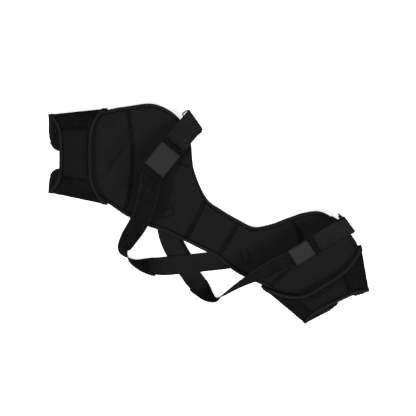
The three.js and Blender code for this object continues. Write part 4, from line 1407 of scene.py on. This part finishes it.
@dataclass
class StrapShape:
    """How a strap's sheet lies on its track.

    Args:
        track: the track it lies on.
        profile: distance and rise pairs.
        width: its width.
        wall: its thickness.
        spacing: distance between its places.
        corner: rounding of its first end's inner corner.
        shift: gives how far its first end moves along, from places across.
        relief: gives extra height on its face, from places along and across.
        flare: extra share of its width towards its last end.
    """

    track: Track
    profile: Array
    width: float
    wall: float
    spacing: float = 2 * MM
    corner: float = 0.0
    shift: Callable[[Array], Array] | None = None
    relief: Callable[[Array, Array], Array] | None = None
    flare: float = 0.0

    def side_at(self, run: Array, share: Array) -> Array:
        """Gives the place across, flared at the last end and with the first corner rounded."""
        side = (share - 0.5) * self.width
        if self.flare:
            left = self.profile[-1, 0] - self.profile[0, 0] - run
            side = side * (1 + self.flare * smooth(2.5 - left / FLARE_REACH))
        if self.corner:
            into = np.clip(1 - run / self.corner, 0, 1)
            side = side - self.corner * (1 - np.sqrt(1 - into**2)) * np.clip(share, 0, 1)
        return side

    def lay(self, run: Array, share: Array) -> tuple[Array, Array]:
        """Gives points and facings: the profile's distance and rise, carried along the track."""
        lengths = lengths_along(self.profile)
        distance, rise = (np.interp(run, lengths, column) for column in self.profile.T)
        step = 0.4 * MM
        ahead, behind = (read_line(run + way, lengths, self.profile) for way in (step, -step))
        slope = unit(ahead - behind)
        side = self.side_at(run, share)
        if self.shift is not None:
            distance = distance + self.shift(side) * np.maximum(0, 1 - run / SHIFT_REACH)
        _, along, _, face = self.track.frame(self.track.slanted(distance, side))
        facing = face * slope[..., :1] - along * slope[..., 1:]
        return self.track.point(distance, side, rise), facing

    def cloth(self) -> Cloth:
        """Gives the strap's sheet with rolled edges."""
        length = float(lengths_along(self.profile)[-1])
        edge = self.wall * 0.6
        run, across = stations(length, self.spacing, edge), stations(self.width, WEBBING_STEP, edge)
        runs, shares = grid(run, across / self.width)
        middle, normal = self.lay(runs, shares)
        rolled = (roll_off(run, length, edge), roll_off(across, self.width, edge))
        half = self.wall / 2 * np.outer(*rolled)
        relief = 0.0
        if self.relief is not None:
            relief = self.relief(runs, shares * self.width) * (half > 0.9 * self.wall / 2)
        return Cloth(middle, normal, half, relief, np.stack([runs, shares * self.width], -1))

    def line(self, run: Array, share: Array, rise: float) -> tuple[Array, Array]:
        """Gives a line of points off the strap's face, and the facings there."""
        run, share = np.broadcast_arrays(np.asarray(run, float), np.asarray(share, float))
        middle, normal = self.lay(run, share)
        return middle + normal * rise, normal

    def ribbon(
        self, run: Array, shares: Array, half: Array, lift: float, cord: Array
    ) -> Cloth:
        """Gives a narrow ribbon laid on the strap.

        Args:
            run: places along the strap.
            shares: shares across the strap where the ribbon's places across itself lie.
            half: the ribbon's half thickness.
            lift: its height off the strap's middle, below 0 on the strap's back.
            cord: extra height on its face.

        Returns:
            The ribbon's sheet.
        """
        middle, normal = self.lay(*grid(run, shares))
        facing = normal * np.sign(lift)
        return Cloth(middle + normal * lift, facing, half, cord * (half > 0))


@dataclass
class StrapSide:
    """One side's strap, from the sewn end behind the yoke to the ring and back to the hook end.

    Args:
        side: left or right.
        hand: which way the strap turns.
        joint: where the elastic meets the loop strap, as a share of the lower track.
        ring_tilt: the ring's tilt, in degrees.
        tab_section: section where the ring's tab is sewn under the body.
        tab_across: share across the body where the tab starts.
        end_share: share of END_STRIP beyond the patch.
        patch_share: share of PATCH_LENGTH that the patch has.
        skew: slant of the fold round the ring.
        flare: extra share of the elastic's width behind the yoke.
        strip_wall: thickness of the sewn strips beside the patch.
        strip_lift: their height over the strap's face.
        strip_gap: the gap between them and the patch.
        patch_inset: how far the patch's stitches lie inside its ends.
        cord: height of the edging's cord.
        ribbon_half: half thickness of the edging and of the ribbon of painted shade on the crease.
        ribbon_lift: their height over the strap's face.
        ring_radius: radius of the ring's wire.
    """

    side: str
    hand: int
    joint: float
    ring_tilt: float
    tab_section: float
    tab_across: float
    end_share: float
    patch_share: float
    skew: float
    flare: float = 0.0
    strip_wall: float = 0.7 * MM
    strip_lift: float = 0.45 * MM
    strip_gap: float = 0.3 * MM
    patch_inset: float = 1.8 * MM
    cord: float = 0.25 * MM
    ribbon_half: float = 0.3 * MM
    ribbon_lift: float = 0.35 * MM
    ring_radius: float = 0.38 * RING_WIRE

    def __post_init__(self) -> None:
        """Lays the tracks and starts the stitching."""
        shoulder, lower = SHOULDER_TRACKS[self.side], LOWER_TRACKS[self.side]
        self.shoulder = Track(shoulder, self.hand, SHOULDER_STRAP_WIDTH, STRAP_WALL, self.skew)
        self.lower = Track(lower, self.hand, STRAP_WIDTH, ELASTIC_WALL)
        self.sewing = Stitching(f"{self.side}_strap_stitches")
        self.bar_radius = RING_WIRE / 2 + 2 * CLEARANCE + STRAP_WALL / 2
        self.bar_place = self.bar_radius + STRAP_WALL / 2
        self.layer = STRAP_WALL + CLEARANCE

    def make(self, body: Body) -> None:
        """Makes the strap's pieces, ring and tab."""
        self._shoulder_strap()
        self._patch()
        self._loop_strap()
        self._elastic()
        ways = self.shoulder.frame(np.array([self.bar_place]))
        bar, along, across, face = (part[0] for part in ways)
        far_bar = bar + face * self.bar_radius
        tilt = np.radians(self.ring_tilt)
        across = unit(across + along * self.skew)
        fall = clear_of(along * np.cos(tilt) - face * np.sin(tilt), across)
        near_bar = far_bar + fall * RING_DEPTH
        self._ring(far_bar, near_bar, across)
        self._tab(body, near_bar, fall, across)
        self.sewing.make()

    def _name(self, part: str) -> str:
        """Names a part of this side."""
        return f"{self.side}_{part}"

    def _across(
        self, shape: StrapShape, inset: float, rise: float, margin: float = 0.03
    ) -> tuple[Array, Array]:
        """Gives a line straight across a strap, for a row of stitches."""
        return shape.line(inset, np.linspace(margin, 1 - margin, 60), rise)

    def _shoulder_strap(self) -> None:
        """Makes the smooth strap, folded back on itself round the ring's far bar."""
        end, bar, radius = self.shoulder.length, self.bar_place, self.bar_radius
        runs = [
            straight(end - STRAP_LAP, bar, 0),
            half_turn(bar, radius, radius),
            straight(bar, bar + 8 * RING_WIRE, 2 * radius, self.layer),
            straight(bar + 9 * RING_WIRE, end, self.layer),
        ]

        def relief(run: Array, side: Array) -> Array:
            """Gives the webbing's slow unevenness."""
            return 0.07 * MM * grain(run / (14 * MM), side / (9 * MM), 21 + self.hand, 24)

        width = SHOULDER_STRAP_WIDTH
        shape = StrapShape(self.shoulder, np.vstack(runs), width, STRAP_WALL, relief=relief)
        cloth_piece(self._name("shoulder_strap"), shape.cloth(), WEBBING)

    def _patch(self) -> None:
        """Makes the hook patch and the sewn strips on each side of it."""
        end, width = self.shoulder.length, SHOULDER_STRAP_WIDTH
        rise = self.layer + STRAP_WALL / 2 + CLEARANCE + PATCH_WALL / 2
        stop = end - self.end_share * END_STRIP
        reach = self.patch_share * PATCH_LENGTH
        start = stop - reach

        def hooks(run: Array, side: Array) -> Array:
            """Gives the hook cloth's fine unevenness."""
            return 0.05 * MM * grain(run / (4 * MM), side / (4 * MM), 31, 30)

        def ribs(run: Array, side: Array) -> Array:
            """Gives the sewn strips' coarse pile."""
            return 0.22 * MM * grain(run / (3.5 * MM), side / (5 * MM), 33, 40)

        profile = straight(start, stop, rise)
        patch = StrapShape(self.shoulder, profile, width, PATCH_WALL, 1.5 * MM, relief=hooks)
        cloth_piece(self._name("grip_patch"), patch.cloth(), PATCH)
        low = self.layer + STRAP_WALL / 2 + self.strip_lift
        strips = {
            "inner_strip": (start - SEWN_STRIP, start - self.strip_gap),
            "end_strip": (stop + self.strip_gap, end - 0.4 * MM),
        }
        for name, (first, last) in strips.items():
            profile = straight(first, last, low)
            sizes = (width - 0.4 * MM, self.strip_wall, MM)
            strip = StrapShape(self.shoulder, profile, *sizes, relief=ribs)
            cloth_piece(self._name(name), strip.cloth(), STRIP_AND_CREASE_SHADE, nodes=())
            insets = (1.6 * MM, 3.6 * MM, last - first - 1.6 * MM)
            for inset in insets[: 3 if last - first > 8 * MM else 1]:
                self.sewing.row(*self._across(strip, inset, 0.6 * MM))
        over = PATCH_WALL / 2 + THREAD_LIFT
        for inset in (self.patch_inset, reach - self.patch_inset):
            self.sewing.row(*self._across(patch, inset, over))
        for share in (0.035, 0.965):
            sides = patch.line(np.linspace(2 * MM, reach - 2 * MM, 60), share, over)
            self.sewing.row(*sides)
        profile = straight(start - SEWN_STRIP - 8 * MM, start - SEWN_STRIP, self.layer)
        ahead = StrapShape(self.shoulder, profile, width, STRAP_WALL)
        for inset in (2.5 * MM, 6 * MM):
            line = self._across(ahead, inset, STRAP_WALL / 2 + THREAD_LIFT)
            self.sewing.row(*line, thick=WIDE_THREAD)

    def _loop_strap(self) -> None:
        """Makes the loop pile strap with its thin edging and its sewn end."""
        ways = self.shoulder.frame(np.array([self.shoulder.length - STRAP_LAP]))
        seam, along, _, _ = (part[0] for part in ways)

        def cut(distance: Array, side: Array) -> Array:
            """Gives how far places on the track lie past the shoulder strap's end."""
            past = ((self.lower.point(distance, side, 0 * side) - seam) * along).sum(-1)
            return past - 2 * CLEARANCE

        def shift(side: Array) -> Array:
            """Finds, by Newton's steps, where the strap meets the shoulder strap's end."""
            distance = np.zeros(np.shape(side))
            for _ in range(4):
                slope = cut(distance + 0.5 * MM, side) - cut(distance - 0.5 * MM, side)
                slope = np.where(np.abs(slope) < 1e-6, 1, slope / MM)
                distance = distance - cut(distance, side) / slope
            return distance

        def pile(run: Array, side: Array) -> Array:
            """Gives the pile's tufts, between the edgings."""
            fine = grain(run / (2.6 * MM), side / (2.6 * MM), 41, 60)
            return 0.13 * MM * fine * (np.minimum(side, STRAP_WIDTH - side) > EDGING_WIDTH)

        length = self.lower.length * self.joint + SEWN_LAP
        profile = straight(0, length, 0, steps=200)
        sizes = (STRAP_WIDTH, STRAP_WALL, 1.3 * MM, 7 * MM)
        shape = StrapShape(self.lower, profile, *sizes, shift, pile)
        cloth_piece(self._name("loop_strap"), shape.cloth(), LOOP, back=LOOP_BACK)
        run = np.linspace(0.5 * MM, length - MM, 260)
        side = stations(EDGING_WIDTH, 0.4 * MM, RIBBON_ROLL)
        half = ribbon_half(len(run), side, EDGING_WIDTH, self.ribbon_half, RIBBON_ROLL)
        cord = self.cord * bell(side, 0.9 * MM, 0.7 * MM)[None, :]
        for name, share, way in (("inner_edging", 1.0, -1), ("outer_edging", 0.0, 1)):
            shares = share + way * (side - 0.15 * MM) / STRAP_WIDTH
            cloth = shape.ribbon(run, shares, half, STRAP_WALL / 2 + self.ribbon_lift, cord)
            cloth_piece(self._name(name), cloth, EDGING, ())
        for inset in (3 * MM, 9 * MM):
            line = self._across(shape, length - inset, STRAP_WALL / 2 + THREAD_LIFT, 0.05)
            self.sewing.row(*line)

    def _elastic(self) -> None:
        """Makes the elastic strap, sewn behind the loop strap and under the yoke."""
        start = self.lower.length * self.joint
        sewn = -(ELASTIC_WALL + STRAP_WALL) / 2 - CLEARANCE
        runs = [
            straight(start, start + SEWN_LAP, sewn),
            straight(start + 1.25 * SEWN_LAP, start + 2.5 * SEWN_LAP, sewn, 0),
            straight(start + 3.5 * SEWN_LAP, self.lower.length, 0, steps=120),
        ]
        profile = np.vstack(runs)

        def ribs(run: Array, side: Array) -> Array:
            """Gives the elastic's ribs along it and its slow unevenness."""
            waves = 0.07 * MM * np.cos(2 * np.pi * side / (3 * MM))
            return waves + 0.12 * MM * grain(run / (20 * MM), side / (7 * MM), 51 + self.hand, 24)

        sizes = {"flare": self.flare, "relief": ribs}
        shape = StrapShape(self.lower, profile, ELASTIC_WIDTH, ELASTIC_WALL, **sizes)
        cloth_piece(self._name("elastic_strap"), shape.cloth(), ELASTIC)
        # A dark ribbon paints shade on the flared elastic's turned edge
        if self.flare:
            self._crease(shape, float(lengths_along(profile)[-1]))

    def _crease(self, shape: StrapShape, length: float) -> None:
        """Makes a dark ribbon on the elastic's turned-in edge beside the yoke: painted shade where
        that edge turns away from the light.
        """
        side = stations(CREASE_SHADE_WIDTH, 0.8 * MM, RIBBON_ROLL)
        run = np.linspace(length - 140 * MM, length - 30 * MM, 60)
        half = ribbon_half(len(run), side, CREASE_SHADE_WIDTH, self.ribbon_half, RIBBON_ROLL)
        lift = -(ELASTIC_WALL / 2 + self.ribbon_lift)
        cloth = shape.ribbon(run, side / ELASTIC_WIDTH, half, lift, np.zeros(1))
        cloth_piece(self._name("crease"), cloth, STRIP_AND_CREASE_SHADE, ())

    def _ring(self, far_bar: Array, near_bar: Array, across: Array) -> None:
        """Bends the ring: a circle of wire carried round a rectangle with rounded corners."""
        up = unit(far_bar - near_bar)
        normal = np.cross(across, up)
        half, reach = SHOULDER_STRAP_WIDTH / 2 + RING_PLAY + RING_WIRE / 2, RING_DEPTH / 2
        bend, wire = RING_WIRE, self.ring_radius
        turn = np.radians(np.arange(0, 360, 5) + 2.5)
        out = np.column_stack([np.cos(turn), np.sin(turn)])
        path = np.sign(out) * np.array([half - bend, reach - bend]) + out * bend
        around = np.linspace(0, 2 * np.pi, 16, endpoint=False)
        flat = path[:, None] + out[:, None] * (np.cos(around) * wire)[None, :, None]
        points = (far_bar + near_bar) / 2 + flat[..., :1] * across + flat[..., 1:] * up
        points = points + (np.sin(around) * wire)[None, :, None] * normal
        index = np.arange(len(turn) * len(around)).reshape(len(turn), len(around))
        ahead, beside = np.roll(index, -1, 0), np.roll(index, -1, 1)
        faces = np.stack([index, ahead, np.roll(ahead, -1, 1), beside], -1).reshape(-1, 4)
        places = np.stack(grid(turn * reach, around * wire), -1).reshape(-1, 2)
        name = self._name("ring")
        solid(name, points.reshape(-1, 3), faces, places, RING_GLOSS, [name])

    def _tab(self, body: Body, bar: Array, fall: Array, across: Array) -> None:
        """Makes the webbing tab: along under the body, straight to the near bar and half round it.

        Args:
            body: the body that it is sewn under.
            bar: the middle of the ring's near bar.
            fall: the way from the ring's far bar to the near one.
            across: the way along the bars.
        """
        radius = RING_WIRE / 2 + 2 * CLEARANCE + TAB_WALL / 2
        under = NEOPRENE_WALL / 2 + BINDING_BUILD + CLEARANCE + TAB_WALL / 2
        ends = body.surface(self.tab_section + np.array([0.1, -0.1]), np.ones(2))
        speed = float(np.linalg.norm(ends[0] - ends[1]) / 0.2)
        place = stations(TAB_WIDTH, WEBBING_STEP, WEBBING_ROLL)
        side = place - TAB_WIDTH / 2
        section = self.tab_section + side / speed
        past = body.inset(section, -(BINDING_BUILD + 2 * CLEARANCE + TAB_WALL), True)
        shares = mix(self.tab_across, past[None, :], np.linspace(0, 1, 30)[:, None])
        sections = np.broadcast_to(section[None, :], shares.shape)
        sewn = body.surface(sections, shares) - body.normal(sections, shares) * under
        angle = np.linspace(0, np.pi, 18)[:, None, None]
        outward = np.cross(fall, across) * self.hand
        round_bar = (fall * np.cos(angle) + outward * np.sin(angle)) * radius
        turned = bar - across * self.hand * side[None, :, None] + round_bar
        bridge = mix(sewn[-1], turned[0], np.linspace(0, 1, 8)[1:-1, None, None])
        middle = np.vstack([sewn, bridge, turned])
        normal = unit(np.cross(np.gradient(middle, axis=0), np.gradient(middle, axis=1)))
        half = ribbon_half(len(middle), place, TAB_WIDTH, TAB_WALL / 2, WEBBING_ROLL)
        cloth_piece(self._name("ring_tab"), Cloth(middle, normal, half), ELASTIC)


def stand(name: str, data: bpy.types.ID) -> bpy.types.Object:
    """Puts a light, camera or mesh in the scene."""
    thing = bpy.data.objects.new(name, data)
    bpy.context.scene.collection.objects.link(thing)
    return thing


@dataclass(frozen=True)
class SoftBox:
    """A square soft light aimed at the brace's middle."""

    name: str
    place: tuple[float, float, float]
    size: float
    power: float

    def make(self) -> None:
        """Adds the light."""
        light = bpy.data.lights.new(self.name, "AREA")
        light.shape, light.size, light.energy = "SQUARE", self.size, self.power
        lamp = stand(self.name, light)
        lamp.location = self.place
        lamp.rotation_euler = (-Vector(self.place)).to_track_quat("-Z", "Y").to_euler()


@dataclass(frozen=True)
class Studio:
    """The pale floor, the soft lights and the camera straight above.

    Args:
        view_width: width of the floor that the picture shows.
        centre: the camera's place over the floor.
        camera_lift: its extra height, for the brace's thickness.
        lens: its focal length in millimetres.
        floor_reach: how far the floor runs each way.
        floor_drop: how far it lies below the brace, clear of the stitches.
        floor_glow: its glow, which only the camera sees.
        sky: brightness of the white surroundings.
        boxes: the soft lights.
    """

    view_width: float = 894 * MM
    centre: tuple[float, float] = (-1.6 * MM, 13 * MM)
    camera_lift: float = 20 * MM
    lens: float = 100.0
    floor_reach: float = 6.0
    floor_drop: float = 0.4 * MM
    floor_glow: float = 0.5
    sky: float = 0.30
    boxes: tuple[SoftBox, ...] = (
        SoftBox("key_light", (1.5, -1.4, 2.0), 0.9, 82.0),
        SoftBox("left_light", (-1.5, -0.6, 1.9), 0.3, 46.0),
        SoftBox("fill_light", (-0.3, 0.5, 3.4), 2.4, 40.0),
    )

    def make(self) -> None:
        """Adds the floor, lights, world and camera."""
        self._floor()
        for box in self.boxes:
            box.make()
        world = bpy.data.worlds.new("studio")
        world.use_nodes = True
        background = world.node_tree.nodes["Background"].inputs
        background[0].default_value, background[1].default_value = (1, 1, 1, 1), self.sky
        bpy.context.scene.world = world
        bpy.context.scene.view_settings.view_transform = "Standard"
        camera = bpy.data.cameras.new("camera")
        camera.lens = self.lens
        eye = stand("camera", camera)
        height = self.view_width * self.lens / camera.sensor_width + self.camera_lift
        eye.location = (*self.centre, height)
        bpy.context.scene.camera = eye

    def _floor(self) -> None:
        """Adds the pale floor."""
        reach = self.floor_reach
        corner_points = [(x * reach, y * reach, 0) for x, y in ((-1, -1), (1, -1), (1, 1), (-1, 1))]
        mesh = bpy.data.meshes.new("floor")
        mesh.from_pydata(corner_points, [], [(0, 1, 2, 3)])
        tree = NodeTree("floor")
        rays = tree.add("LightPath", {}).outputs["Is Camera Ray"]
        glow = tree.add("Math", {0: rays, 1: self.floor_glow}, operation="MULTIPLY")
        inputs = {
            "Base Color": (0.93, 0.93, 0.93, 1),
            "Roughness": 0.9,
            "Emission Color": (1, 1, 1, 1),
            "Emission Strength": glow.outputs[0],
        }
        tree.feed(tree.shader, inputs)
        mesh.materials.append(tree.material)
        floor = stand("floor", mesh)
        floor.location.z = -self.floor_drop
        floor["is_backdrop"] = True


def corners() -> list[list[float]]:
    """Gives the shown object's lowest and highest corners as lists."""
    return [[float(value) for value in corner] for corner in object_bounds()]


def main() -> None:
    """Builds the brace and its studio."""
    logging.basicConfig(level=logging.INFO)
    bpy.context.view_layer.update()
    body = Body()
    body.make()
    for side in BAND_CORNERS:
        ArmBand(side).make()
    for strap in (
        StrapSide("left", 1, 0.55, 40, 5.5, 0.70, 1.1, 0.97, 0.29),
        StrapSide("right", -1, 0.57, 80, 15.85, 0.76, 0.2, 0.77, 0.13, flare=0.17),
    ):
        strap.make(body)
    Studio().make()


if __name__ == "__main__":
    main()
